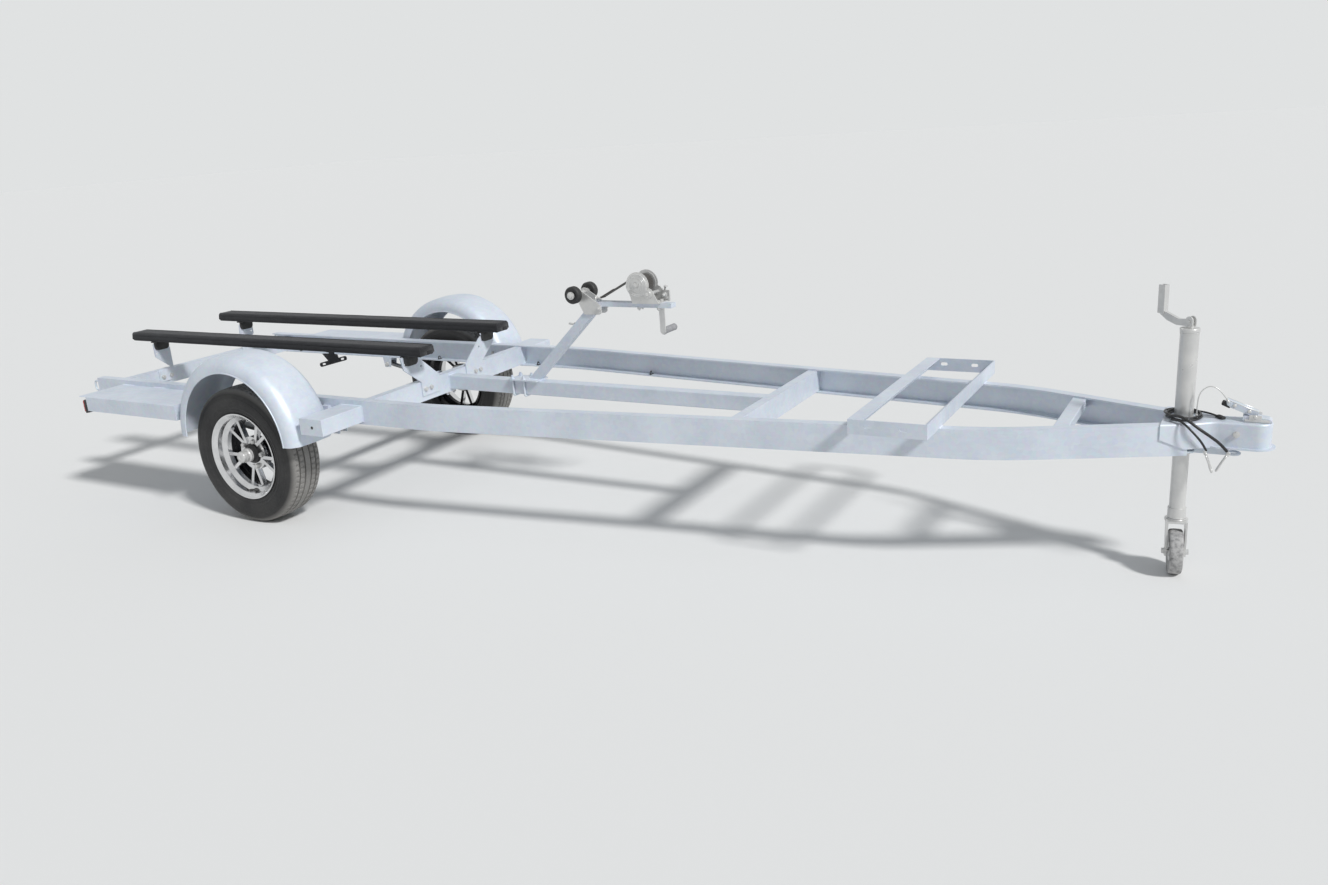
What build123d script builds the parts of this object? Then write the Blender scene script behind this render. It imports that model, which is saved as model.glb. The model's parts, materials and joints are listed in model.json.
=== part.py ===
import math
import os

from build123d import *

os.makedirs("parts", exist_ok=True)

# Overall layout. X is forward, Y to the left, Z up, and Z = 0 is the ground.
OVERALL_LENGTH = 5107.0
REAR_OVERHANG = 1262.0
AXLE_X = -OVERALL_LENGTH / 2 + REAR_OVERHANG


def at(station):
    """X of a station counted forward from the axle."""
    return AXLE_X + station


WELD_GAP = 0.3

# Main rails: channels, parallel at the back, tapering forward, then closing on the tongue.
RAIL_TOP = 530.0
RAIL_DEPTH = 101.6
RAIL_FLANGE = 40.0
RAIL_WEB_T = 5.0
RAIL_FLANGE_T = 6.0
RAIL_BOTTOM = RAIL_TOP - RAIL_DEPTH
RAIL_HALF = 571.5
RAIL_REAR = -1226.0
TAPER_START = 890.0
TONGUE_BEND = 3040.0
TONGUE_BEND_HALF = 311.9
RAIL_FRONT = 3600.0
RAIL_FRONT_HALF = 82.3
TAPER_RADIUS = 1500.0
TONGUE_RADIUS = 960.0
TAPER_SLOPE = (RAIL_HALF - TONGUE_BEND_HALF) / (TONGUE_BEND - TAPER_START)
TONGUE_SLOPE = (TONGUE_BEND_HALF - RAIL_FRONT_HALF) / (RAIL_FRONT - TONGUE_BEND)

# Tie-down loop on each rail's back end.
LOOP_ROD_R = 4.5
LOOP_HEIGHT = 46.0
LOOP_REACH = 26.0

# Crossmembers and spine.
CROSS_FLANGE = 40.0
CROSS_T = 5.0
REAR_CROSS_FRONT = -1120.0
REAR_CROSS_DROP = 14.0
BUNK_CROSS_FRONT = 540.0
MID_CROSS_FRONT = 2170.0
FRONT_CROSS_REAR = 3205.0
FRONT_CROSS_LENGTH = 48.0
FRONT_CROSS_HEIGHT = 34.0
SPINE_WIDTH = 50.8
SPINE_HEIGHT = 63.5
SPINE_BOTTOM = 447.0
SPINE_WALL = 4.0

# Wheels and axle.
WHEEL_R = 300.0
TYRE_WIDTH = 178.0
TYRE_BULGE_R = 246.0
TREAD_HALF = 70.0
WHEEL_OUTSET = 124.5
WHEEL_Y = RAIL_HALF + WHEEL_OUTSET
RIM_FLANGE_R = 190.5
RIM_SEAT_R = 174.0
RIM_WIDTH = 165.0
RIM_WALL = 5.0
SPOKE_PAIRS = 5
SPOKE_WIDTH = 15.0
SPOKE_ROOT_R = 52.0
SPOKE_SPREAD = 13.0
SPOKE_FACE = 32.0
SPOKE_DEPTH = 22.0
WHEEL_PAD_R = 74.0
HUB_FLANGE_R = 70.0
HUB_FLANGE_T = 12.0
HUB_FACE = -6.0
HUB_BARREL_R = 31.0
HUB_BARREL_TIP = 62.0
HUB_CAP_R = 25.0
HUB_CAP_TIP = 96.0
LUG_COUNT = 5
LUG_PCD = 114.3
LUG_R = 9.5
LUG_TIP = 42.0
SPINDLE_R = 17.0
SPINDLE_FIT = 0.08
SPINDLE_REACH = 14.0
RIM_DROP = 18.0
AXLE_SIZE = 50.8
AXLE_OVERHANG = 16.5
AXLE_HALF = RAIL_HALF + AXLE_OVERHANG
AXLE_Z = WHEEL_R

# Leaf springs and their hangers.
SPRING_Y = RAIL_HALF - RAIL_FLANGE / 2
LEAF_WIDTH = 36.0
LEAF_T = 7.0
LEAF_COUNT = 3
LEAF_HALF = 362.0
LEAF_STEP = 105.0
SPRING_EYE_Z = 394.0
SPRING_EYE_R = 14.0
EYE_BOLT_R = 7.0
EYE_FIT = 0.1
SEAT_T = 6.0
HANGER_T = 5.0
HANGER_LENGTH = 56.0
HANGER_DROP = 52.0
HANGER_SIDE_GAP = 1.0
UBOLT_R = 6.0
UBOLT_SPACING = 72.0
TIE_PLATE_T = 8.0

# Fenders.
FENDER_X = 15.0
FENDER_Z = 380.0
FENDER_RAIL_GAP = 18.5
FENDER_WIDTH = 232.0
FENDER_IN_Y = RAIL_HALF + FENDER_RAIL_GAP
FENDER_OUT_Y = FENDER_IN_Y + FENDER_WIDTH
FENDER_CROWN_R = 366.0
FENDER_EDGE_R = 298.0
FENDER_SHOULDER_R = 358.0
FENDER_CORNER = 52.0
FENDER_ARC = 400.0
FENDER_T = 2.5
FENDER_BEAD_R = 4.0
FENDER_TAB_X = 318.0
FENDER_TAB_LENGTH = 40.0
FENDER_TAB_BOTTOM = 455.0
FENDER_TAB_TOP = 500.0

# Side steps: a closed stub ahead of each fender and an open-bottomed step behind it.
STEP_TOP = 507.5
STEP_BOTTOM = 439.0
STEP_WIDTH = 228.5
STEP_OUT_Y = RAIL_HALF + STEP_WIDTH
STEP_T = 3.0
STUB_REAR = 405.0
STUB_FRONT = 528.0
STEP_REAR = -1035.0
STEP_FRONT = -362.0
LIGHT_BAY = 48.0
LIGHT_DROP = 14.0
LIGHT_WIDTH = 108.0
LIGHT_HEIGHT = 62.0
LIGHT_DEPTH = 32.0

# Bunks and their brackets.
BUNK_Y = 268.0
BUNK_WIDTH = 95.0
BUNK_T = 44.0
BUNK_BOTTOM = 660.0
BUNK_REAR = -REAR_OVERHANG
BUNK_FRONT = 648.0
BUNK_GAP = 0.3
BUNK_FOLD = 14.0
BUNK_ROUND = 14.0
BRACKET_T = 6.0
BRACKET_REACH = 172.0
BRACKET_HALF = 47.0
FRONT_BRACKET_X = BUNK_CROSS_FRONT + WELD_GAP
REAR_BRACKET_X = REAR_CROSS_FRONT + WELD_GAP
PAD_HALF = 40.0
PAD_DEPTH = 26.0
PAD_DROP = 46.0
PAD_PLATE_T = 6.0
SLOT_BAR_Y = 270.0
SLOT_BAR_T = 6.0
SLOT_BAR_X = 84.0
SLOT_BAR_Z = 608.0
SLOT_BAR_LENGTH = 176.0
SLOT_BAR_WIDTH = 20.0
SLOT_BAR_PITCH = 14.0

# Battery tray frame on the front of the rails.
TRAY_REAR = 2606.0
TRAY_FRONT = 2873.0
TRAY_HALF = 470.0
TRAY_LEG = 50.8
TRAY_T = 5.0
TRAY_SLOT_LENGTH = 27.0
TRAY_SLOT_WIDTH = 13.0
TRAY_SLOT_SPACING = 120.0
TRAY_SLOT_MID = 2736.0
TRAY_SLOT_RISE = 28.0

# Winch stand.
STAND_PLATE_REAR = 892.0
STAND_PLATE_FRONT = 1046.0
STAND_PLATE_HALF = 44.0
STAND_PLATE_T = 6.0
CLAMP_REAR = 906.0
CLAMP_FRONT = 966.0
CLAMP_ROD_R = 5.0
CLAMP_SIDE_GAP = 0.3
POST_SIZE = 38.0
POST_REAR = 985.0
POST_LEAN = 1.048
ARM_BOTTOM = 846.0
ARM_HEIGHT = 19.0
ARM_REAR = 1334.0
ARM_FRONT = 1720.0
ARM_HALF = 20.0

# Winch.
DRUM_X = 1583.0
DRUM_Z = 940.0
DRUM_R = 24.0
DRUM_FLANGE_R = 44.0
PINION_AHEAD = 46.0
PINION_X = DRUM_X + PINION_AHEAD
PINION_Z = 903.0
PINION_R = 25.0
WINCH_BASE_BACK = 28.0
WINCH_BASE_AHEAD = 47.0
WINCH_PLATE_T = 4.0
WINCH_HALF = 40.0
GEAR_COVER_R = 51.0
GEAR_COVER_T = 9.0
RATCHET_R = 21.0
RATCHET_TEETH = 12
CRANK_PIVOT_Y = 62.0
CRANK_LENGTH = 168.0
CRANK_WIDTH = 24.0
CRANK_T = 6.0
CRANK_GRIP_R = 13.0
CRANK_GRIP_LENGTH = 95.0
STRAP_WIDTH = 50.0
STRAP_T = 3.0
STRAP_WOUND_R = 38.0
STRAP_END_X = 1394.0
STRAP_END_RISE = 17.0

# Bow stop.
BOW_X = 1288.0
BOW_Z = 898.0
BOW_ROLLER_R = 36.0
BOW_ROLLER_LENGTH = 32.0
BOW_ROLLER_INNER_Y = 45.0
BOW_ROLLER_GAP = 1.0
BOW_SLEEVE_R = 13.0
BOW_PIN_R = 8.0
BOW_PIN_FIT = 0.1
BOW_PLATE_T = 5.0

# Tongue, coupler and jack.
TONGUE_SKIRT_T = 5.0
TONGUE_REAR = 3520.0
TONGUE_PLATE_AHEAD = 20.0
TONGUE_PLATE_REAR = TONGUE_REAR + TONGUE_PLATE_AHEAD
TONGUE_PLATE_T = 6.0
TONGUE_TUBE_REAR = 3612.0
TONGUE_TUBE_HALF = 38.1
COUPLER_FLARE = 3608.0
COUPLER_NECK = 3668.0
COUPLER_NOSE = 3833.0
COUPLER_CAST = 118.0
TONGUE_TUBE_FRONT = COUPLER_NOSE - COUPLER_CAST
COUPLER_LIP = 3845.0
COUPLER_HALF = 43.5
COUPLER_BOTTOM = 451.0
COUPLER_TOP = 535.5
COUPLER_WALL = 4.5
COUPLER_EDGE = 7.0
COUPLER_LIP_T = 5.0
LATCH_REAR = 3747.0
LATCH_FRONT = 3829.0
LATCH_HALF = 22.0
LEVER_REAR = 3697.0
LEVER_FRONT = 3790.0
LEVER_HALF = 15.0
LEVER_RISE = 67.0
BALL_R = 25.9
JACK_AHEAD = 58.0
JACK_X = TONGUE_REAR + JACK_AHEAD
JACK_TUBE_R = 28.5
JACK_BORE_R = 25.4
JACK_TUBE_BOTTOM = 415.0
JACK_TUBE_TOP = 815.0
JACK_CAP_R = 30.0
JACK_CAP_T = 11.0
JACK_CRANK_TURN = -35.0
JACK_CRANK_LENGTH = 107.0
JACK_GRIP_LENGTH = 92.0
JACK_LEG_R = 25.0
JACK_LEG_TOP = 640.0
JACK_SOCKET_BOTTOM = 189.0
JACK_SOCKET_TOP = 223.0
JACK_SOCKET_R = 28.5
CASTER_R = 76.0
CASTER_WIDTH = 42.0
CASTER_TRAIL = 28.0
CASTER_TURN = 99.0
CASTER_PIN_R = 12.0
CASTER_PIN_FIT = 0.1
YOKE_T = 6.0
YOKE_GAP = 5.0
YOKE_TOP = 184.0
CASTER_AXLE_R = 6.5

# Wiring harness: coiled round the jack's foot, with its connector lying ahead of the coil.
HARNESS_R = 3.0
COIL_OUT_X = 62.0
COIL_OUT_Y = 76.0
COIL_IN_X = 40.0
COIL_IN_Y = 54.0
COIL_HEIGHT = 21.0
PLUG_X = 3684.0
PLUG_Y = 2.0
PLUG_YAW = -50.0
PLUG_LENGTH = 34.0
PLUG_WIDTH = 15.0
PLUG_HEIGHT = 9.0

# Safety cables, from the coil down to their hooks, as stations forward of the axle, Y and Z.
THICK_CABLE_R = 4.75
THIN_CABLE_R = 3.5
THICK_CABLE_ROUTE = (
    (3540.0, -62.0, 550.0),
    (3562.0, -83.0, 561.0),
    (3594.0, -101.0, 553.0),
    (3630.0, -106.0, 527.0),
    (3664.0, -92.0, 500.0),
    (3694.0, -76.0, 473.0),
    (3712.0, -63.0, 447.0),
)
THIN_CABLE_ROUTE = (
    (3548.0, -66.0, 541.0),
    (3566.0, -92.0, 549.0),
    (3592.0, -113.0, 539.0),
    (3620.0, -119.0, 512.0),
    (3643.0, -112.0, 483.0),
    (3655.0, -100.0, 456.0),
)
HARNESS_ROUTE = (
    (3620.0, 52.5, 541.5),
    (3638.0, 47.0, 541.0),
    (3654.0, 35.5, 540.5),
    (3664.5, 25.2, 540.3),
    (3673.8, 14.1, 540.3),
)
HOOK_ROD_R = 3.0
HOOK_LENGTH = 58.0
HOOK_WIDTH = 19.0
FERRULE_LENGTH = 14.0

# Wire loop from the coupler's top to the latch lever.
LATCH_WIRE_R = 1.8
LATCH_WIRE_ROUTE = (
    (3617.0, -30.0, 536.0),
    (3615.0, -30.0, 598.0),
    (3626.0, -29.0, 634.0),
    (3652.0, -27.0, 650.0),
    (3682.0, -24.0, 634.0),
    (3706.0, -20.0, 594.0),
)


def half_width(station):
    """Half width over the rails' outer faces at a station."""
    if station <= TAPER_START:
        return RAIL_HALF
    if station <= TONGUE_BEND:
        return RAIL_HALF - TAPER_SLOPE * (station - TAPER_START)
    return TONGUE_BEND_HALF - TONGUE_SLOPE * (station - TONGUE_BEND)


def web_inside(station, slope):
    """Y of a rail web's inner face at a station, less the weld gap."""
    return half_width(station) - RAIL_WEB_T * math.hypot(1.0, slope) - WELD_GAP


def box_between(x0, x1, y0, y1, z0, z1, mode=Mode.ADD):
    """A box from its two corners."""
    with Locations(((x0 + x1) / 2, (y0 + y1) / 2, (z0 + z1) / 2)):
        Box(x1 - x0, y1 - y0, z1 - z0, mode=mode)


def mirrored(shape, label):
    """The same piece on the other side."""
    twin = mirror(shape, about=Plane.XZ)
    twin.label = label
    return twin


def corner_radii(route):
    """The radius of the arc at each inner point of a route, as large as its two runs allow."""
    points = [Vector(*point) for point in route]
    radii = []
    for before, corner, after in zip(points, points[1:], points[2:]):
        half_turn = math.radians((corner - before).get_angle(after - corner)) / 2
        shorter = min((corner - before).length, (after - corner).length)
        radii.append(0.45 * shorter / math.tan(half_turn))
    return radii


def tube_along(name, route, radius):
    """A round tube whose middle line follows a route's runs, joined by tangent arcs."""
    route = [(at(station), y, z) for station, y, z in route]
    radii = corner_radii(route)
    with BuildPart() as tube:
        with BuildLine():
            middle = FilletPolyline(*route, radius=radii)
        with BuildSketch(Plane(origin=middle @ 0, z_dir=middle % 0)):
            Circle(radius)
        sweep(path=middle)
    swept = math.pi * radius**2 * middle.length
    print(name, "radii", [round(r, 1) for r in radii], "length", round(middle.length, 1))
    print(name, "volume over section times length", round(tube.part.volume / swept, 4))
    tube.part.label = name
    return tube.part


# Rails.
with BuildPart() as rail:
    with BuildLine() as rail_line:
        FilletPolyline(
            (at(RAIL_REAR), RAIL_HALF, RAIL_TOP),
            (at(TAPER_START), RAIL_HALF, RAIL_TOP),
            (at(TONGUE_BEND), TONGUE_BEND_HALF, RAIL_TOP),
            (at(RAIL_FRONT), RAIL_FRONT_HALF, RAIL_TOP),
            radius=(TAPER_RADIUS, TONGUE_RADIUS),
        )
    with BuildSketch(Plane(origin=rail_line.line @ 0, x_dir=(0, -1, 0), z_dir=(1, 0, 0))):
        with BuildLine():
            Polyline(
                (0, 0),
                (RAIL_FLANGE, 0),
                (RAIL_FLANGE, RAIL_FLANGE_T),
                (RAIL_WEB_T, RAIL_FLANGE_T),
                (RAIL_WEB_T, RAIL_DEPTH - RAIL_FLANGE_T),
                (RAIL_FLANGE, RAIL_DEPTH - RAIL_FLANGE_T),
                (RAIL_FLANGE, RAIL_DEPTH),
                (0, RAIL_DEPTH),
                close=True,
            )
        make_face()
    sweep(path=rail_line.line)
    hanger_inner = LEAF_WIDTH / 2 + HANGER_SIDE_GAP
    for hanger_x in (-LEAF_HALF, LEAF_HALF):
        for side in (-1, 1):
            plate_in = SPRING_Y + side * hanger_inner
            plate_out = plate_in + side * HANGER_T
            with BuildSketch(Plane.XZ.offset(-plate_in)):
                with BuildLine():
                    Polyline(
                        (at(hanger_x) - HANGER_LENGTH / 2, RAIL_BOTTOM + 1),
                        (at(hanger_x) - HANGER_LENGTH / 3, RAIL_BOTTOM - HANGER_DROP),
                        (at(hanger_x) + HANGER_LENGTH / 3, RAIL_BOTTOM - HANGER_DROP),
                        (at(hanger_x) + HANGER_LENGTH / 2, RAIL_BOTTOM + 1),
                        close=True,
                    )
                make_face()
            extrude(amount=-side * HANGER_T)
        with Locations(Location((at(hanger_x), SPRING_Y, SPRING_EYE_Z), (90, 0, 0))):
            Cylinder(EYE_BOLT_R, LEAF_WIDTH + 2 * HANGER_T + 2 * HANGER_SIDE_GAP + 14)
        hanger_span = hanger_inner + HANGER_T
        box_between(
            at(hanger_x) - HANGER_LENGTH / 2,
            at(hanger_x) + HANGER_LENGTH / 2,
            SPRING_Y - hanger_span,
            SPRING_Y + hanger_span,
            RAIL_BOTTOM - 4,
            RAIL_BOTTOM + 1,
        )
    with BuildLine() as loop_line:
        Polyline(
            (at(RAIL_REAR) + 2, RAIL_HALF - 2.5, RAIL_TOP - 16),
            (at(RAIL_REAR) - LOOP_REACH, RAIL_HALF - 2.5, RAIL_TOP - 16),
            (at(RAIL_REAR) - LOOP_REACH, RAIL_HALF - 2.5, RAIL_TOP - 16 - LOOP_HEIGHT),
            (at(RAIL_REAR) + 2, RAIL_HALF - 2.5, RAIL_TOP - 16 - LOOP_HEIGHT),
        )
        fillet(loop_line.vertices().sort_by(Axis.X)[:2], radius=14)
    with BuildSketch(Plane(origin=loop_line.line @ 0, z_dir=loop_line.line % 0)):
        Circle(LOOP_ROD_R)
    sweep(path=loop_line.line)
rail.part.label = "rail_left"
export_step(rail.part, "parts/rail_left.step")
export_step(mirrored(rail.part, "rail_right"), "parts/rail_right.step")

# Crossmembers.
CROSS_TOP = RAIL_TOP - RAIL_FLANGE_T - WELD_GAP
CROSS_BOTTOM = RAIL_BOTTOM + RAIL_FLANGE_T + WELD_GAP


def cross_channel(front, slope, top):
    """A channel across the frame with its web forward and its ends cut to the rails."""
    rear = front - CROSS_FLANGE
    y_front = web_inside(front, slope)
    y_rear = web_inside(rear, slope)
    y_web = web_inside(front - CROSS_T, slope)
    with BuildPart() as channel:
        with BuildSketch(Plane.XY.offset(CROSS_BOTTOM)):
            with BuildLine():
                Polyline(
                    (at(rear), -y_rear),
                    (at(front), -y_front),
                    (at(front), y_front),
                    (at(rear), y_rear),
                    close=True,
                )
            make_face()
        extrude(amount=CROSS_T)
        with BuildSketch(Plane.XY.offset(top)):
            with BuildLine():
                Polyline(
                    (at(rear), -y_rear),
                    (at(front), -y_front),
                    (at(front), y_front),
                    (at(rear), y_rear),
                    close=True,
                )
            make_face()
        extrude(amount=-CROSS_T)
        with BuildSketch(Plane.XY.offset(CROSS_BOTTOM)):
            with BuildLine():
                Polyline(
                    (at(front - CROSS_T), -y_web),
                    (at(front), -y_front),
                    (at(front), y_front),
                    (at(front - CROSS_T), y_web),
                    close=True,
                )
            make_face()
        extrude(amount=top - CROSS_BOTTOM)
    return channel.part


for cross_name, cross_front, cross_slope, cross_top in (
    ("rear_crossmember", REAR_CROSS_FRONT, 0.0, CROSS_TOP - REAR_CROSS_DROP),
    ("bunk_crossmember", BUNK_CROSS_FRONT, 0.0, CROSS_TOP),
    ("mid_crossmember", MID_CROSS_FRONT, TAPER_SLOPE, CROSS_TOP),
):
    cross = cross_channel(cross_front, cross_slope, cross_top)
    cross.label = cross_name
    export_step(cross, f"parts/{cross_name}.step")

with BuildPart() as front_cross:
    front_end = FRONT_CROSS_REAR + FRONT_CROSS_LENGTH
    with BuildSketch(Plane.XY.offset(CROSS_TOP)):
        with BuildLine():
            Polyline(
                (at(FRONT_CROSS_REAR), -web_inside(FRONT_CROSS_REAR, TONGUE_SLOPE)),
                (at(front_end), -web_inside(front_end, TONGUE_SLOPE)),
                (at(front_end), web_inside(front_end, TONGUE_SLOPE)),
                (at(FRONT_CROSS_REAR), web_inside(FRONT_CROSS_REAR, TONGUE_SLOPE)),
                close=True,
            )
        make_face()
    extrude(amount=-FRONT_CROSS_HEIGHT)
    fillet(front_cross.edges().filter_by(Axis.Y), radius=3)
front_cross.part.label = "front_crossmember"
export_step(front_cross.part, "parts/front_crossmember.step")

with BuildPart() as spine:
    spine_mid = SPINE_BOTTOM + SPINE_HEIGHT / 2
    spine_rear = at(BUNK_CROSS_FRONT) + WELD_GAP
    spine_front = at(MID_CROSS_FRONT - CROSS_T) - WELD_GAP
    with BuildSketch(Plane(origin=(spine_rear, 0, spine_mid), x_dir=(0, 1, 0), z_dir=(1, 0, 0))):
        RectangleRounded(SPINE_WIDTH, SPINE_HEIGHT, 5)
        RectangleRounded(
            SPINE_WIDTH - 2 * SPINE_WALL, SPINE_HEIGHT - 2 * SPINE_WALL, 2, mode=Mode.SUBTRACT
        )
    extrude(amount=spine_front - spine_rear)
spine.part.label = "spine_tube"
export_step(spine.part, "parts/spine_tube.step")

# Axle, springs and wheels.
SEAT_TOP = AXLE_Z + AXLE_SIZE / 2 + SEAT_T
LEAF_TOP = SEAT_TOP + LEAF_COUNT * LEAF_T + WELD_GAP
with BuildPart() as axle:
    Box(AXLE_SIZE, 2 * AXLE_HALF, AXLE_SIZE)
    fillet(axle.edges().filter_by(Axis.Y), radius=4)
    with Locations(Location((0, 0, 0), (90, 0, 0))):
        Cylinder(SPINDLE_R, 2 * (WHEEL_Y + SPINDLE_REACH))
    for side in (-1, 1):
        y_mid = side * SPRING_Y
        box_between(
            -UBOLT_SPACING / 2 - 14,
            UBOLT_SPACING / 2 + 14,
            y_mid - 28,
            y_mid + 28,
            AXLE_SIZE / 2 - 1,
            SEAT_TOP - AXLE_Z,
        )
        box_between(
            -UBOLT_SPACING / 2 - 14,
            UBOLT_SPACING / 2 + 14,
            y_mid - 30,
            y_mid + 30,
            -AXLE_SIZE / 2 - TIE_PLATE_T,
            -AXLE_SIZE / 2 + 1,
        )
        for bolt_x in (-UBOLT_SPACING / 2, UBOLT_SPACING / 2):
            leg = LEAF_WIDTH / 2 + UBOLT_R + 1.0
            bolt_top = LEAF_TOP - AXLE_Z + UBOLT_R + 1.8
            bolt_low = -AXLE_SIZE / 2 - TIE_PLATE_T - 18
            with BuildLine() as bolt_line:
                Polyline(
                    (bolt_x, y_mid - leg, bolt_low),
                    (bolt_x, y_mid - leg, bolt_top),
                    (bolt_x, y_mid + leg, bolt_top),
                    (bolt_x, y_mid + leg, bolt_low),
                )
                fillet(bolt_line.vertices().sort_by(Axis.Z)[-2:], radius=9)
            with BuildSketch(Plane(origin=bolt_line.line @ 0, z_dir=bolt_line.line % 0)):
                Circle(UBOLT_R)
            sweep(path=bolt_line.line)
axle_part = Pos(at(0), 0, AXLE_Z) * axle.part
axle_part.label = "axle"
export_step(axle_part, "parts/axle.step")

LEAF_SAG = SPRING_EYE_Z - (LEAF_TOP - LEAF_T / 2)
LEAF_RADIUS = (LEAF_HALF**2 + LEAF_SAG**2) / (2 * LEAF_SAG)
with BuildPart() as spring:
    for leaf in range(LEAF_COUNT):
        reach = LEAF_HALF - leaf * LEAF_STEP
        top_mid = LEAF_TOP - leaf * LEAF_T
        drop_mid = top_mid - LEAF_T
        lift = LEAF_RADIUS - math.sqrt(LEAF_RADIUS**2 - reach**2)
        with BuildSketch(Plane.XZ.offset(-SPRING_Y - LEAF_WIDTH / 2)):
            with BuildLine():
                ThreePointArc((-reach, top_mid + lift), (0, top_mid), (reach, top_mid + lift))
                Line((reach, top_mid + lift), (reach, drop_mid + lift))
                ThreePointArc((reach, drop_mid + lift), (0, drop_mid), (-reach, drop_mid + lift))
                Line((-reach, drop_mid + lift), (-reach, top_mid + lift))
            make_face()
        extrude(amount=LEAF_WIDTH)
    for eye_x in (-LEAF_HALF, LEAF_HALF):
        with Locations(Location((eye_x, SPRING_Y, SPRING_EYE_Z), (90, 0, 0))):
            Cylinder(SPRING_EYE_R, LEAF_WIDTH)
    for eye_x in (-LEAF_HALF, LEAF_HALF):
        with Locations(Location((eye_x, SPRING_Y, SPRING_EYE_Z), (90, 0, 0))):
            Cylinder(EYE_BOLT_R + EYE_FIT, LEAF_WIDTH + 2, mode=Mode.SUBTRACT)
spring_part = Pos(at(0), 0, 0) * spring.part
spring_part.label = "leaf_spring_left"
export_step(spring_part, "parts/leaf_spring_left.step")
export_step(mirrored(spring_part, "leaf_spring_right"), "parts/leaf_spring_right.step")

# The wheel is drawn round the Z axis with its outer face up, then turned to face left.
with BuildPart() as hub:
    with Locations((0, 0, HUB_FACE - HUB_FLANGE_T / 2)):
        Cylinder(HUB_FLANGE_R, HUB_FLANGE_T)
    with BuildSketch(Plane.XZ):
        with BuildLine():
            Polyline(
                (0, -52),
                (HUB_BARREL_R + 6, -52),
                (HUB_BARREL_R + 6, -30),
                (HUB_BARREL_R, -24),
                (HUB_BARREL_R, HUB_BARREL_TIP),
                (HUB_CAP_R, HUB_BARREL_TIP + 2),
                (HUB_CAP_R, HUB_CAP_TIP - 8),
                (HUB_CAP_R - 8, HUB_CAP_TIP),
                (0, HUB_CAP_TIP),
                close=True,
            )
        make_face()
    revolve(axis=Axis.Z)
    with PolarLocations(LUG_PCD / 2, LUG_COUNT):
        with Locations((0, 0, (HUB_FACE + LUG_TIP) / 2)):
            Cylinder(LUG_R, LUG_TIP - HUB_FACE)
    with Locations((0, 0, -20)):
        Cylinder(SPINDLE_R + SPINDLE_FIT, 76, mode=Mode.SUBTRACT)

with BuildPart() as rim:
    half = RIM_WIDTH / 2
    with BuildSketch(Plane.XZ):
        with BuildLine():
            Polyline(
                (RIM_FLANGE_R, half),
                (RIM_FLANGE_R, half - 6),
                (RIM_SEAT_R + 3, half - 10),
                (RIM_SEAT_R, half - 16),
                (RIM_SEAT_R, half - 38),
                (RIM_SEAT_R - RIM_DROP, half - 52),
                (RIM_SEAT_R - RIM_DROP, half - 90),
                (RIM_SEAT_R, half - 110),
                (RIM_SEAT_R, -half + 16),
                (RIM_SEAT_R + 3, -half + 10),
                (RIM_FLANGE_R, -half + 6),
                (RIM_FLANGE_R, -half),
                (RIM_FLANGE_R - 6, -half),
                (RIM_SEAT_R - RIM_WALL, -half + 14),
                (RIM_SEAT_R - RIM_WALL, half - 112),
                (RIM_SEAT_R - RIM_DROP - RIM_WALL, half - 92),
                (RIM_SEAT_R - RIM_DROP - RIM_WALL, half - 50),
                (RIM_SEAT_R - RIM_WALL, half - 36),
                (RIM_SEAT_R - RIM_WALL, half - 14),
                (RIM_FLANGE_R - 6, half),
                close=True,
            )
        make_face()
    revolve(axis=Axis.Z)
    with BuildSketch(Plane.XY.offset(SPOKE_FACE)):
        for pair in range(SPOKE_PAIRS):
            heading = 90 + pair * 360 / SPOKE_PAIRS
            for lean in (-1, 1):
                root = (
                    SPOKE_ROOT_R * math.cos(math.radians(heading + lean * 5)),
                    SPOKE_ROOT_R * math.sin(math.radians(heading + lean * 5)),
                )
                tip_r = RIM_SEAT_R - RIM_DROP - RIM_WALL / 2
                tip = (
                    tip_r * math.cos(math.radians(heading + lean * SPOKE_SPREAD)),
                    tip_r * math.sin(math.radians(heading + lean * SPOKE_SPREAD)),
                )
                run = math.hypot(tip[0] - root[0], tip[1] - root[1])
                turn = math.degrees(math.atan2(tip[1] - root[1], tip[0] - root[0]))
                with Locations(Location(((root[0] + tip[0]) / 2, (root[1] + tip[1]) / 2), turn)):
                    Rectangle(run, SPOKE_WIDTH)
    extrude(amount=-SPOKE_DEPTH)
    with Locations((0, 0, (HUB_FACE + WELD_GAP + SPOKE_FACE - 6) / 2)):
        Cylinder(WHEEL_PAD_R, SPOKE_FACE - 6 - HUB_FACE - WELD_GAP)
    with Locations((0, 0, SPOKE_FACE / 2)):
        Cylinder(HUB_BARREL_R + 2, 90, mode=Mode.SUBTRACT)
    with PolarLocations(LUG_PCD / 2, LUG_COUNT):
        with Locations((0, 0, SPOKE_FACE)):
            Cylinder(LUG_R + 2, 4 * SPOKE_FACE, mode=Mode.SUBTRACT)

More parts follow.
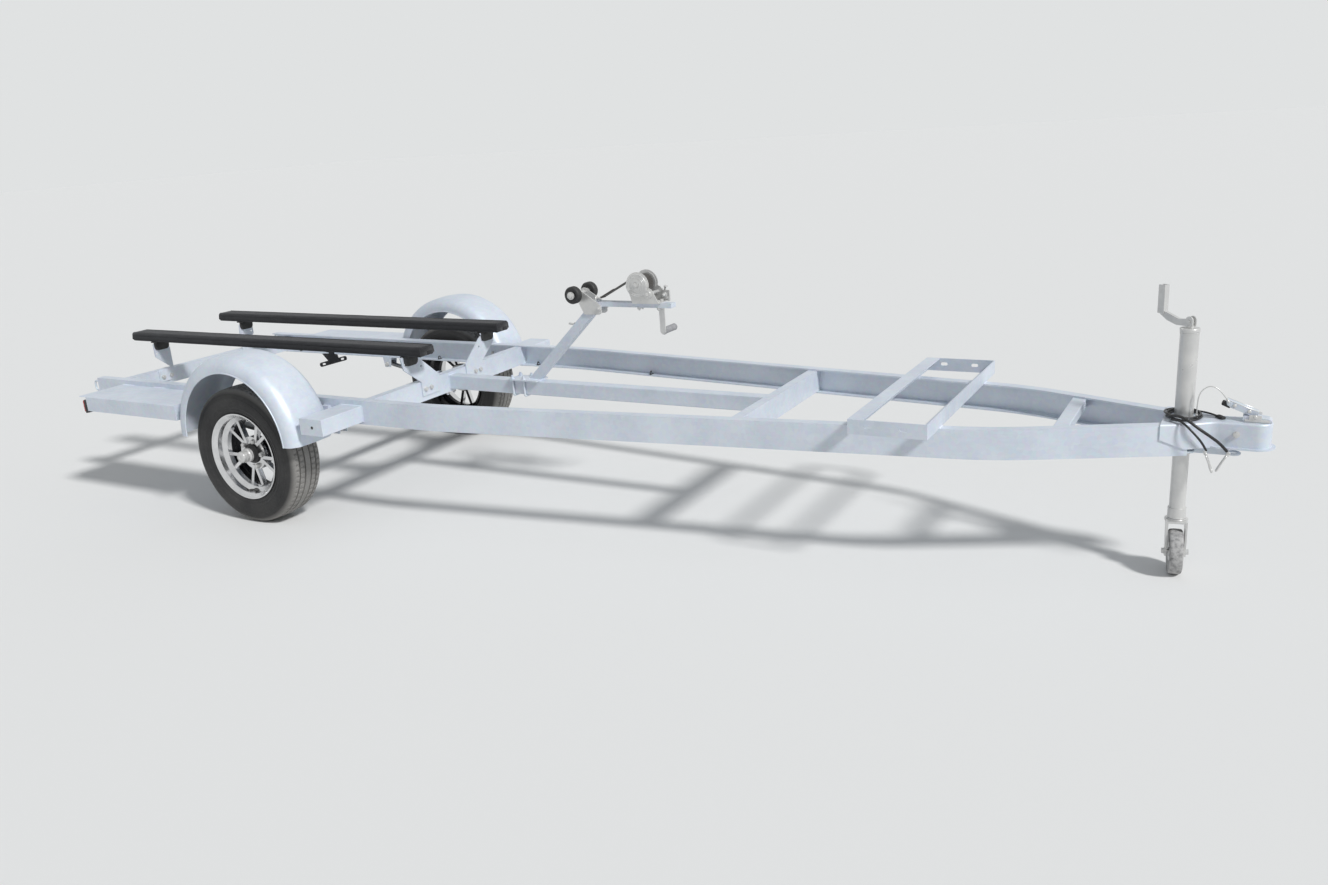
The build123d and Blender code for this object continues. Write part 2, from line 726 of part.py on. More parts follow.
with BuildPart() as tyre:
    bulge = TYRE_WIDTH / 2
    seat_r = RIM_SEAT_R + WELD_GAP
    bead_out = RIM_WIDTH / 2 - 10.6
    flange_in = RIM_WIDTH / 2 - 6.6
    lip_r = RIM_FLANGE_R + 0.6
    with BuildSketch(Plane.XZ):
        with BuildLine():
            Line((seat_r, bead_out - 6.4), (seat_r + 3, bead_out))
            Line((seat_r + 3, bead_out), (lip_r, flange_in))
            ThreePointArc((lip_r, flange_in), (TYRE_BULGE_R - 10, bulge), (WHEEL_R - 14, TREAD_HALF + 8))
            Polyline(
                (WHEEL_R - 14, TREAD_HALF + 8),
                (WHEEL_R - 4, TREAD_HALF - 2),
                (WHEEL_R, TREAD_HALF - 30),
                (WHEEL_R, -TREAD_HALF + 30),
                (WHEEL_R - 4, -TREAD_HALF + 2),
                (WHEEL_R - 14, -TREAD_HALF - 8),
            )
            ThreePointArc(
                (WHEEL_R - 14, -TREAD_HALF - 8), (TYRE_BULGE_R - 10, -bulge), (lip_r, -flange_in)
            )
            Polyline(
                (lip_r, -flange_in),
                (seat_r + 3, -bead_out),
                (seat_r, -bead_out + 6.4),
                (seat_r, -bead_out + 16),
                (lip_r + 8, -flange_in + 8),
                (WHEEL_R - 16, -TREAD_HALF + 16),
                (WHEEL_R - 16, TREAD_HALF - 16),
                (lip_r + 8, flange_in - 8),
                (seat_r, bead_out - 16),
                (seat_r, bead_out - 6.4),
            )
        make_face()
    revolve(axis=Axis.Z)

wheel_place = Location((at(0), WHEEL_Y, AXLE_Z), (-90, 0, 0))
for wheel_piece, shape in (("hub", hub.part), ("rim", rim.part), ("tyre", tyre.part)):
    placed = wheel_place * shape
    placed.label = f"{wheel_piece}_left"
    export_step(placed, f"parts/{wheel_piece}_left.step")
    export_step(mirrored(placed, f"{wheel_piece}_right"), f"parts/{wheel_piece}_right.step")


# Fenders.
def crown_corners(inset):
    """Corners of the fender's crowned section, as (radius, y), inset from the outside."""
    y_in = FENDER_IN_Y + inset
    y_out = FENDER_OUT_Y - inset
    y_mid = (y_in + y_out) / 2
    return (
        (FENDER_EDGE_R, y_in),
        (FENDER_SHOULDER_R - inset, y_in),
        (FENDER_CROWN_R - inset, y_mid),
        (FENDER_SHOULDER_R - inset, y_out),
        (FENDER_EDGE_R, y_out),
    )


with BuildPart() as fender:
    with BuildSketch(Plane.XY) as crown:
        outer = crown_corners(0)
        inner = crown_corners(FENDER_T)
        with BuildLine():
            FilletPolyline(*outer, radius=(FENDER_CORNER, FENDER_ARC, FENDER_CORNER))
            Line(outer[-1], inner[-1])
            FilletPolyline(
                *reversed(inner),
                radius=(FENDER_CORNER - FENDER_T, FENDER_ARC - FENDER_T, FENDER_CORNER - FENDER_T),
            )
            Line(inner[0], outer[0])
        make_face()
        for y_bead in (outer[0][1] + 1.5, outer[-1][1] - 1.5):
            with Locations((FENDER_EDGE_R, y_bead)):
                RegularPolygon(FENDER_BEAD_R, 6)
    revolve(axis=Axis.Y, revolution_arc=180)
fender_arch = Pos(at(FENDER_X), 0, FENDER_Z) * fender.part
if fender_arch.bounding_box().max.Z < FENDER_Z + 10:
    fender_arch = Pos(at(FENDER_X), 0, FENDER_Z) * (Rot(0, 180, 0) * fender.part)
with BuildPart() as fender_full:
    add(fender_arch)
    for tab_side in (-1, 1):
        tab_x = at(FENDER_X) + tab_side * FENDER_TAB_X
        box_between(
            tab_x - FENDER_TAB_LENGTH / 2,
            tab_x + FENDER_TAB_LENGTH / 2,
            RAIL_HALF + WELD_GAP,
            FENDER_IN_Y + FENDER_T / 2,
            FENDER_TAB_BOTTOM,
            FENDER_TAB_TOP,
        )
fender_full.part.label = "fender_left"
export_step(fender_full.part, "parts/fender_left.step")
export_step(mirrored(fender_full.part, "fender_right"), "parts/fender_right.step")

# Side steps and lights.
with BuildPart() as stub:
    box_between(at(STUB_REAR), at(STUB_FRONT), RAIL_HALF + WELD_GAP, STEP_OUT_Y, STEP_BOTTOM, STEP_TOP)
    fillet(stub.edges().filter_by(Axis.Y), radius=3)
stub.part.label = "fender_stub_left"
export_step(stub.part, "parts/fender_stub_left.step")
export_step(mirrored(stub.part, "fender_stub_right"), "parts/fender_stub_right.step")

with BuildPart() as step:
    step_in = RAIL_HALF + WELD_GAP
    box_between(at(STEP_REAR), at(STEP_FRONT), step_in, STEP_OUT_Y, STEP_BOTTOM, STEP_TOP)
    fillet(step.edges().filter_by(Axis.X).group_by(Axis.Z)[-1].sort_by(Axis.Y)[-1], radius=4)
    box_between(
        at(STEP_REAR) + LIGHT_BAY + STEP_T,
        at(STEP_FRONT) - STEP_T,
        step_in + STEP_T,
        STEP_OUT_Y - STEP_T,
        STEP_BOTTOM - 1,
        STEP_TOP - STEP_T,
        Mode.SUBTRACT,
    )
    box_between(
        at(STEP_REAR) - 1,
        at(STEP_REAR) + LIGHT_BAY,
        step_in - 1,
        STEP_OUT_Y + 1,
        STEP_BOTTOM - 1,
        STEP_TOP - STEP_T,
        Mode.SUBTRACT,
    )
step.part.label = "rear_step_left"
export_step(step.part, "parts/rear_step_left.step")
export_step(mirrored(step.part, "rear_step_right"), "parts/rear_step_right.step")

with BuildPart() as light:
    light_front = at(STEP_REAR) + LIGHT_BAY - WELD_GAP
    light_out = STEP_OUT_Y + 1.5
    light_top = STEP_TOP - STEP_T - LIGHT_DROP
    box_between(
        light_front - LIGHT_DEPTH,
        light_front,
        light_out - LIGHT_WIDTH,
        light_out,
        light_top - LIGHT_HEIGHT,
        light_top,
    )
    fillet(light.edges().filter_by(Axis.Z), radius=7)
light.part.label = "tail_light_left"
export_step(light.part, "parts/tail_light_left.step")
export_step(mirrored(light.part, "tail_light_right"), "parts/tail_light_right.step")

# Bunks: carpeted boards whose underside is cut back at the ends, as the folded carpet shows.
with BuildPart() as bunk:
    with BuildSketch(Plane.YZ.offset(at(BUNK_REAR))):
        with BuildLine():
            FilletPolyline(
                (BUNK_Y - BUNK_WIDTH / 2, BUNK_BOTTOM),
                (BUNK_Y + BUNK_WIDTH / 2, BUNK_BOTTOM),
                (BUNK_Y + BUNK_WIDTH / 2, BUNK_BOTTOM + BUNK_T),
                (BUNK_Y - BUNK_WIDTH / 2, BUNK_BOTTOM + BUNK_T),
                radius=BUNK_ROUND,
                close=True,
            )
        make_face()
    extrude(amount=BUNK_FRONT - BUNK_REAR)
    with BuildSketch(Plane.XZ.offset(-BUNK_Y - BUNK_WIDTH)):
        for end_x, inward in ((at(BUNK_REAR), 1), (at(BUNK_FRONT), -1)):
            with BuildLine():
                Polyline(
                    (end_x - inward, BUNK_BOTTOM - 1),
                    (end_x + inward * BUNK_FOLD, BUNK_BOTTOM - 1),
                    (end_x - inward, BUNK_BOTTOM + BUNK_FOLD * 1.4),
                    close=True,
                )
            make_face()
            with BuildLine():
                Polyline(
                    (end_x - inward, BUNK_BOTTOM + BUNK_T + 1),
                    (end_x + inward * BUNK_FOLD / 2, BUNK_BOTTOM + BUNK_T + 1),
                    (end_x - inward, BUNK_BOTTOM + BUNK_T - BUNK_FOLD / 2),
                    close=True,
                )
            make_face()
    extrude(amount=2 * BUNK_WIDTH, mode=Mode.SUBTRACT)
bunk.part.label = "bunk_left"
export_step(bunk.part, "parts/bunk_left.step")
export_step(mirrored(bunk.part, "bunk_right"), "parts/bunk_right.step")

# Bunk brackets: plates on the crossmembers' webs, forked at the top round the pad that they hold.
BUNK_SEAT = BUNK_BOTTOM - BUNK_GAP
PAD_BOTTOM = BUNK_SEAT - PAD_DROP
front_bracket_outline = (
    (BUNK_Y - BRACKET_REACH, CROSS_BOTTOM + 24),
    (BUNK_Y - 54, CROSS_BOTTOM + 24),
    (BUNK_Y - 54, RAIL_TOP - 6),
    (BUNK_Y + BRACKET_HALF, PAD_BOTTOM - 14),
    (BUNK_Y + BRACKET_HALF + 12, BUNK_SEAT - 6),
    (BUNK_Y + BRACKET_HALF - 3, BUNK_SEAT - 3),
    (BUNK_Y + BRACKET_HALF - 8, PAD_BOTTOM + 2),
    (BUNK_Y - BRACKET_HALF + 8, PAD_BOTTOM + 2),
    (BUNK_Y - BRACKET_HALF + 4, BUNK_SEAT - 18),
    (BUNK_Y - BRACKET_HALF - 10, BUNK_SEAT - 26),
    (BUNK_Y - BRACKET_REACH, RAIL_TOP + 6),
)
rear_bracket_outline = (
    (BUNK_Y - BRACKET_HALF, CROSS_BOTTOM + 16),
    (BUNK_Y + BRACKET_HALF - 4, CROSS_BOTTOM + 16),
    (BUNK_Y + BRACKET_HALF - 4, CROSS_TOP - REAR_CROSS_DROP - 3),
    (BUNK_Y - 18, CROSS_TOP - REAR_CROSS_DROP - 2),
    (BUNK_Y - 30, CROSS_TOP - REAR_CROSS_DROP + 9),
    (BUNK_Y + BRACKET_HALF - 4, PAD_BOTTOM - 32),
    (BUNK_Y + BRACKET_HALF - 3, BUNK_SEAT - 14),
    (BUNK_Y + BRACKET_HALF - 10, BUNK_SEAT - 10),
    (BUNK_Y + BRACKET_HALF - 18, PAD_BOTTOM + 12),
    (BUNK_Y - BRACKET_HALF + 20, PAD_BOTTOM + 12),
    (BUNK_Y - BRACKET_HALF + 12, BUNK_SEAT - 16),
    (BUNK_Y - BRACKET_HALF + 4, BUNK_SEAT - 22),
    (BUNK_Y - BRACKET_HALF, PAD_BOTTOM - 8),
)
BRACKET_HOLE_R = 5.5
for bracket_name, bracket_x, bracket_outline, holes in (
    (
        "front",
        FRONT_BRACKET_X,
        front_bracket_outline,
        ((BUNK_Y - 64, PAD_BOTTOM - 18), (BUNK_Y - 110, RAIL_TOP - 40), (BUNK_Y - 74, RAIL_TOP - 40)),
    ),
    (
        "rear",
        REAR_BRACKET_X,
        rear_bracket_outline,
        ((BUNK_Y + 31, PAD_BOTTOM - 18), (BUNK_Y - 25, CROSS_BOTTOM + 40), (BUNK_Y + 22, CROSS_BOTTOM + 40)),
    ),
):
    with BuildPart() as bracket:
        with BuildSketch(Plane.YZ.offset(at(bracket_x))):
            with BuildLine():
                Polyline(*bracket_outline, close=True)
            make_face()
            with Locations(*holes):
                Circle(BRACKET_HOLE_R, mode=Mode.SUBTRACT)
        extrude(amount=BRACKET_T)
    bracket.part.label = f"bunk_bracket_{bracket_name}_left"
    export_step(bracket.part, f"parts/bunk_bracket_{bracket_name}_left.step")
    bracket_twin = mirrored(bracket.part, f"bunk_bracket_{bracket_name}_right")
    export_step(bracket_twin, f"parts/bunk_bracket_{bracket_name}_right.step")

    with BuildPart() as pad:
        pad_x = bracket_x + BRACKET_T + WELD_GAP
        with BuildSketch(Plane.YZ.offset(at(pad_x))):
            with BuildLine():
                FilletPolyline(
                    (BUNK_Y - PAD_HALF, BUNK_SEAT),
                    (BUNK_Y - PAD_HALF, PAD_BOTTOM),
                    (BUNK_Y + PAD_HALF, PAD_BOTTOM),
                    (BUNK_Y + PAD_HALF, BUNK_SEAT),
                    radius=PAD_HALF / 2,
                )
                Line((BUNK_Y + PAD_HALF, BUNK_SEAT), (BUNK_Y - PAD_HALF, BUNK_SEAT))
            make_face()
        extrude(amount=PAD_DEPTH / 3)
        box_between(
            at(pad_x) - BRACKET_T - PAD_DEPTH / 2,
            at(pad_x) + PAD_DEPTH,
            BUNK_Y - PAD_HALF,
            BUNK_Y + PAD_HALF,
            BUNK_SEAT - PAD_PLATE_T,
            BUNK_SEAT,
        )
    pad.part.label = f"bunk_pad_{bracket_name}_left"
    export_step(pad.part, f"parts/bunk_pad_{bracket_name}_left.step")
    pad_twin = mirrored(pad.part, f"bunk_pad_{bracket_name}_right")
    export_step(pad_twin, f"parts/bunk_pad_{bracket_name}_right.step")

# Slotted bar under the right bunk.
with BuildPart() as slot_bar:
    with BuildSketch(Plane.XZ.offset(SLOT_BAR_Y - SLOT_BAR_T / 2)):
        with Locations(Location((at(SLOT_BAR_X), SLOT_BAR_Z), SLOT_BAR_PITCH)):
            SlotOverall(SLOT_BAR_LENGTH, SLOT_BAR_WIDTH)
            with Locations((-SLOT_BAR_LENGTH / 2 + 26, 0), (SLOT_BAR_LENGTH / 2 - 26, 0)):
                SlotOverall(26, SLOT_BAR_WIDTH / 2.4, mode=Mode.SUBTRACT)
        with BuildLine():
            Polyline(
                (at(SLOT_BAR_X) - 20, SLOT_BAR_Z - 6),
                (at(SLOT_BAR_X) + 38, SLOT_BAR_Z + 8),
                (at(SLOT_BAR_X) + 30, BUNK_SEAT - 18),
                (at(SLOT_BAR_X) + 12, BUNK_SEAT - 16),
                (at(SLOT_BAR_X) + 12, BUNK_SEAT),
                (at(SLOT_BAR_X) - 18, BUNK_SEAT),
                (at(SLOT_BAR_X) - 18, BUNK_SEAT - 16),
                (at(SLOT_BAR_X) - 60, BUNK_SEAT - 18),
                close=True,
            )
        make_face()
    extrude(amount=SLOT_BAR_T)
    box_between(
        at(SLOT_BAR_X) - 18,
        at(SLOT_BAR_X) + 12,
        -SLOT_BAR_Y - 18,
        -SLOT_BAR_Y + 18,
        BUNK_SEAT - PAD_PLATE_T,
        BUNK_SEAT,
    )
slot_bar.part.label = "bunk_slot_bar"
export_step(slot_bar.part, "parts/bunk_slot_bar.step")

# Tray frame.
TRAY_BOTTOM = RAIL_TOP + WELD_GAP
TRAY_TOP = TRAY_BOTTOM + TRAY_LEG
with BuildPart() as tray:
    box_between(at(TRAY_REAR), at(TRAY_REAR) + TRAY_T, -TRAY_HALF, TRAY_HALF, TRAY_BOTTOM, TRAY_TOP)
    box_between(
        at(TRAY_REAR), at(TRAY_REAR) + TRAY_LEG, -TRAY_HALF, TRAY_HALF, TRAY_TOP - TRAY_T, TRAY_TOP
    )
    box_between(at(TRAY_FRONT) - TRAY_T, at(TRAY_FRONT), -TRAY_HALF, TRAY_HALF, TRAY_BOTTOM, TRAY_TOP)
    box_between(
        at(TRAY_FRONT) - TRAY_LEG, at(TRAY_FRONT), -TRAY_HALF, TRAY_HALF, TRAY_BOTTOM, TRAY_BOTTOM + TRAY_T
    )
    for side in (-1, 1):
        y_a = side * TRAY_HALF
        y_b = side * (TRAY_HALF - TRAY_T)
        box_between(at(TRAY_REAR), at(TRAY_FRONT), min(y_a, y_b), max(y_a, y_b), TRAY_BOTTOM, TRAY_TOP)
    with BuildSketch(Plane.XZ.offset(-TRAY_HALF - 1)):
        for slot_x in (-TRAY_SLOT_SPACING / 2, TRAY_SLOT_SPACING / 2):
            with Locations((at(TRAY_SLOT_MID) + slot_x, TRAY_BOTTOM + TRAY_SLOT_RISE)):
                SlotOverall(TRAY_SLOT_LENGTH, TRAY_SLOT_WIDTH)
    extrude(amount=2 * TRAY_HALF + 2, mode=Mode.SUBTRACT)
tray.part.label = "tray_frame"
export_step(tray.part, "parts/tray_frame.step")

# Winch stand.
PLATE_BOTTOM = SPINE_BOTTOM + SPINE_HEIGHT + WELD_GAP
PLATE_TOP = PLATE_BOTTOM + STAND_PLATE_T
with BuildPart() as stand:
    box_between(
        at(STAND_PLATE_REAR),
        at(STAND_PLATE_FRONT),
        -STAND_PLATE_HALF,
        STAND_PLATE_HALF,
        PLATE_BOTTOM,
        PLATE_TOP,
    )
    fillet(stand.edges().filter_by(Axis.Z), radius=8)
    for station in (CLAMP_REAR, CLAMP_FRONT):
        leg = SPINE_WIDTH / 2 + CLAMP_ROD_R + CLAMP_SIDE_GAP
        low = SPINE_BOTTOM - CLAMP_ROD_R - CLAMP_SIDE_GAP
        with BuildLine() as clamp_line:
            Polyline(
                (at(station), -leg, PLATE_TOP + 16),
                (at(station), -leg, low),
                (at(station), leg, low),
                (at(station), leg, PLATE_TOP + 16),
            )
            fillet(clamp_line.vertices().sort_by(Axis.Z)[:2], radius=8)
        with BuildSketch(Plane(origin=clamp_line.line @ 0, z_dir=clamp_line.line % 0)):
            Circle(CLAMP_ROD_R)
        sweep(path=clamp_line.line)
        for side in (-1, 1):
            with Locations((at(station), side * leg, PLATE_TOP + 4.5)):
                with BuildSketch(Plane.XY.offset(PLATE_TOP - 0.5)):
                    with Locations((at(station), side * leg)):
                        RegularPolygon(9, 6)
                extrude(amount=9)
    post_run = POST_SIZE * math.hypot(1.0, POST_LEAN)
    post_rise = ARM_BOTTOM + ARM_HEIGHT / 2 - (PLATE_TOP - 1)
    with BuildSketch(Plane.XZ.offset(-POST_SIZE / 2)):
        with BuildLine():
            Polyline(
                (at(POST_REAR), PLATE_TOP - 1),
                (at(POST_REAR) + post_run, PLATE_TOP - 1),
                (at(POST_REAR) + post_run + POST_LEAN * post_rise, PLATE_TOP - 1 + post_rise),
                (at(POST_REAR) + POST_LEAN * post_rise, PLATE_TOP - 1 + post_rise),
                close=True,
            )
        make_face()
    extrude(amount=POST_SIZE)
    box_between(at(ARM_REAR), at(ARM_FRONT), -ARM_HALF, ARM_HALF, ARM_BOTTOM, ARM_BOTTOM + ARM_HEIGHT)
stand.part.label = "winch_stand"
export_step(stand.part, "parts/winch_stand.step")

# Bow stop: two plates bolted to the sides of the arm, with a roller outside each.
ARM_TOP = ARM_BOTTOM + ARM_HEIGHT
with BuildPart() as bow:
    for side in (-1, 1):
        inner_y = side * (ARM_HALF + WELD_GAP)
        with BuildSketch(Plane.XZ.offset(-inner_y)):
            with Locations((at(BOW_X), BOW_Z)):
                Circle(BOW_SLEEVE_R + 5)
            with BuildLine():
                Polyline(
                    (at(BOW_X) - 16, BOW_Z - 8),
                    (at(BOW_X) + 14, BOW_Z + 11),
                    (at(ARM_REAR) + 42, ARM_TOP - 2),
                    (at(ARM_REAR) + 60, ARM_BOTTOM),
                    (at(ARM_REAR) + 60, ARM_BOTTOM - 26),
                    (at(ARM_REAR) + 48, ARM_BOTTOM - 34),
                    (at(ARM_REAR) - 24, ARM_BOTTOM - 34),
                    close=True,
                )
            make_face()
        extrude(amount=-side * BOW_PLATE_T)
        sleeve_from = ARM_HALF + BOW_PLATE_T
        sleeve_to = BOW_ROLLER_INNER_Y - BOW_ROLLER_GAP
        with Locations(Location((at(BOW_X), side * (sleeve_from + sleeve_to) / 2, BOW_Z), (90, 0, 0))):
            Cylinder(BOW_SLEEVE_R, sleeve_to - sleeve_from)
        washer_from = BOW_ROLLER_INNER_Y + BOW_ROLLER_LENGTH + BOW_ROLLER_GAP
        with Locations(Location((at(BOW_X), side * (washer_from + 2.5), BOW_Z), (90, 0, 0))):
            Cylinder(BOW_PIN_R * 2, 5)
    with Locations(Location((at(BOW_X), 0, BOW_Z), (90, 0, 0))):
        Cylinder(BOW_PIN_R, 2 * (BOW_ROLLER_INNER_Y + BOW_ROLLER_LENGTH + BOW_ROLLER_GAP + 9))
bow.part.label = "bow_bracket"
export_step(bow.part, "parts/bow_bracket.step")

with BuildPart() as bow_roller:
    roller_mid = BOW_ROLLER_INNER_Y + BOW_ROLLER_LENGTH / 2
    with Locations(Location((at(BOW_X), roller_mid, BOW_Z), (90, 0, 0))):
        Cylinder(BOW_ROLLER_R, BOW_ROLLER_LENGTH)
        chamfer(bow_roller.edges(), length=5)
        Cylinder(BOW_PIN_R + BOW_PIN_FIT, BOW_ROLLER_LENGTH + 2, mode=Mode.SUBTRACT)
bow_roller.part.label = "bow_roller_left"
export_step(bow_roller.part, "parts/bow_roller_left.step")
export_step(mirrored(bow_roller.part, "bow_roller_right"), "parts/bow_roller_right.step")

# Winch: teardrop side plates with the gear covers outside them, the pinion shaft and its ratchet.
WINCH_BASE_Z = ARM_TOP + WELD_GAP
WINCH_REAR = DRUM_X - WINCH_BASE_BACK
WINCH_FRONT = PINION_X + WINCH_BASE_AHEAD
with BuildPart() as winch:
    box_between(
        at(WINCH_REAR),
        at(WINCH_FRONT),
        -WINCH_HALF,
        WINCH_HALF,
        WINCH_BASE_Z,
        WINCH_BASE_Z + WINCH_PLATE_T,
    )
    for side in (-1, 1):
        plate_y = side * WINCH_HALF
        with BuildSketch(Plane.XZ.offset(-plate_y)):
            with Locations((at(DRUM_X), DRUM_Z)):
                Circle(GEAR_COVER_R)
            with Locations((at(PINION_X), PINION_Z)):
                Circle(PINION_R)
            with BuildLine():
                Polyline(
                    (at(WINCH_REAR), WINCH_BASE_Z),
                    (at(DRUM_X) - GEAR_COVER_R * 0.8, DRUM_Z - GEAR_COVER_R * 0.6),
                    (at(DRUM_X), DRUM_Z),
                    (at(PINION_X) + PINION_R * 0.8, PINION_Z + PINION_R * 0.6),
                    (at(WINCH_FRONT), WINCH_BASE_Z),
                    close=True,
                )
            make_face()
        extrude(amount=side * WINCH_PLATE_T)
        cover_y = side * (WINCH_HALF + GEAR_COVER_T / 2 - 0.5)
        with Locations(Location((at(DRUM_X), cover_y, DRUM_Z), (90, 0, 0))):
            Cylinder(GEAR_COVER_R - 4, GEAR_COVER_T + 1)
            Cylinder(DRUM_R, GEAR_COVER_T + 7)
    with Locations(Location((at(PINION_X), -WINCH_HALF - GEAR_COVER_T / 2 + 0.5, PINION_Z), (90, 0, 0))):
        Cylinder(PINION_R - 6, GEAR_COVER_T + 1)
    with Locations(Location((at(PINION_X), 0, PINION_Z), (90, 0, 0))):
        Cylinder(7.5, 2 * WINCH_HALF + 18)
    with BuildSketch(Plane.XZ.offset(-WINCH_HALF + 1)):
        with Locations((at(PINION_X), PINION_Z)):
            Circle(RATCHET_R)
            with PolarLocations(RATCHET_R, RATCHET_TEETH):
                Rectangle(6, 5, rotation=20)
    extrude(amount=-7)
    box_between(
        at(WINCH_FRONT) - 26,
        at(WINCH_FRONT) + 8,
        WINCH_HALF - WINCH_PLATE_T,
        WINCH_HALF + 5,
        WINCH_BASE_Z,
        PINION_Z + 6,
    )
winch.part.label = "winch_frame"
export_step(winch.part, "parts/winch_frame.step")

with BuildPart() as drum:
    drum_half = WINCH_HALF - WINCH_PLATE_T - 1.0
    with Locations(Location((at(DRUM_X), 0, DRUM_Z), (90, 0, 0))):
        Cylinder(DRUM_R, 2 * drum_half)
        with Locations((0, 0, drum_half - 2), (0, 0, -drum_half + 2)):
            Cylinder(DRUM_FLANGE_R, 4)
drum.part.label = "winch_drum"
export_step(drum.part, "parts/winch_drum.step")

# The strap is wound on the drum and runs straight from the roll's top to the eye on the arm.
with BuildPart() as strap:
    strap_end = (at(STRAP_END_X), ARM_TOP + STRAP_END_RISE)
    strap_r = STRAP_WOUND_R - STRAP_T / 2
    strap_span = math.hypot(at(DRUM_X) - strap_end[0], DRUM_Z - strap_end[1])
    strap_run = math.sqrt(strap_span**2 - strap_r**2)
    strap_rise = math.atan2(DRUM_Z - strap_end[1], at(DRUM_X) - strap_end[0])
    strap_rise += math.asin(strap_r / strap_span)
    strap_mid = (
        strap_end[0] + strap_run / 2 * math.cos(strap_rise),
        strap_end[1] + strap_run / 2 * math.sin(strap_rise),
    )
    with BuildSketch(Plane.XZ.offset(-STRAP_WIDTH / 2)):
        with Locations((at(DRUM_X), DRUM_Z)):
            Circle(STRAP_WOUND_R)
        with Locations(Location(strap_mid, math.degrees(strap_rise))):
            Rectangle(strap_run, STRAP_T)
        with Locations((at(DRUM_X), DRUM_Z)):
            Circle(DRUM_R + WELD_GAP, mode=Mode.SUBTRACT)
    extrude(amount=STRAP_WIDTH)
strap.part.label = "winch_strap"
export_step(strap.part, "parts/winch_strap.step")

with BuildPart() as winch_crank:
    with BuildSketch(Plane.XZ.offset(-CRANK_PIVOT_Y)):
        with Locations((at(PINION_X), PINION_Z - CRANK_LENGTH / 2)):
            SlotOverall(CRANK_LENGTH + CRANK_WIDTH, CRANK_WIDTH, rotation=90)
    extrude(amount=-CRANK_T)
    with Locations(Location((at(PINION_X), (CRANK_PIVOT_Y + WINCH_HALF + 9) / 2 + 3, PINION_Z), (90, 0, 0))):
        Cylinder(11, CRANK_PIVOT_Y - WINCH_HALF - 9 + 4)
    grip_y = CRANK_PIVOT_Y + CRANK_T + CRANK_GRIP_LENGTH / 2
    with Locations(Location((at(PINION_X), grip_y, PINION_Z - CRANK_LENGTH), (90, 0, 0))):
        Cylinder(CRANK_GRIP_R, CRANK_GRIP_LENGTH)
winch_crank.part.label = "winch_crank"
export_step(winch_crank.part, "parts/winch_crank.step")

# Tongue: a square tube from between the rails' ends, the plate that carries it, and the chain ring.
with BuildPart() as tongue:
    box_between(
        at(TONGUE_TUBE_REAR),
        at(TONGUE_TUBE_FRONT),
        -TONGUE_TUBE_HALF,
        TONGUE_TUBE_HALF,
        RAIL_BOTTOM - 1,
        RAIL_TOP,
    )
    plate_rear_y = web_inside(TONGUE_PLATE_REAR, TONGUE_SLOPE)
    plate_front_y = web_inside(TONGUE_TUBE_REAR + 6, TONGUE_SLOPE)
    with BuildSketch(Plane.XY.offset(RAIL_BOTTOM + RAIL_FLANGE_T + WELD_GAP)):
        with BuildLine():
            Polyline(
                (at(TONGUE_PLATE_REAR), -plate_rear_y),
                (at(TONGUE_TUBE_REAR) + 6, -plate_front_y),
                (at(TONGUE_TUBE_REAR) + 6, plate_front_y),
                (at(TONGUE_PLATE_REAR), plate_rear_y),
                close=True,
            )
        make_face()
        with Locations((at(JACK_X), 0)):
            Circle(JACK_TUBE_R + WELD_GAP, mode=Mode.SUBTRACT)
    extrude(amount=TONGUE_PLATE_T)
    ring_x = at(TONGUE_TUBE_FRONT) + 14
    with BuildLine() as ring_line:
        CenterArc((ring_x, 0, RAIL_BOTTOM - 4), 17, 0, 360)
    with BuildSketch(Plane(origin=ring_line.line @ 0, z_dir=ring_line.line % 0)):
        Circle(4.5)
    sweep(path=ring_line.line)
    box_between(
        at(TONGUE_TUBE_FRONT) - 30,
        at(TONGUE_TUBE_FRONT) + 2,
        -9,
        9,
        RAIL_BOTTOM - 9,
        RAIL_BOTTOM + 1,
    )
tongue.part.label = "tongue"
export_step(tongue.part, "parts/tongue.step")

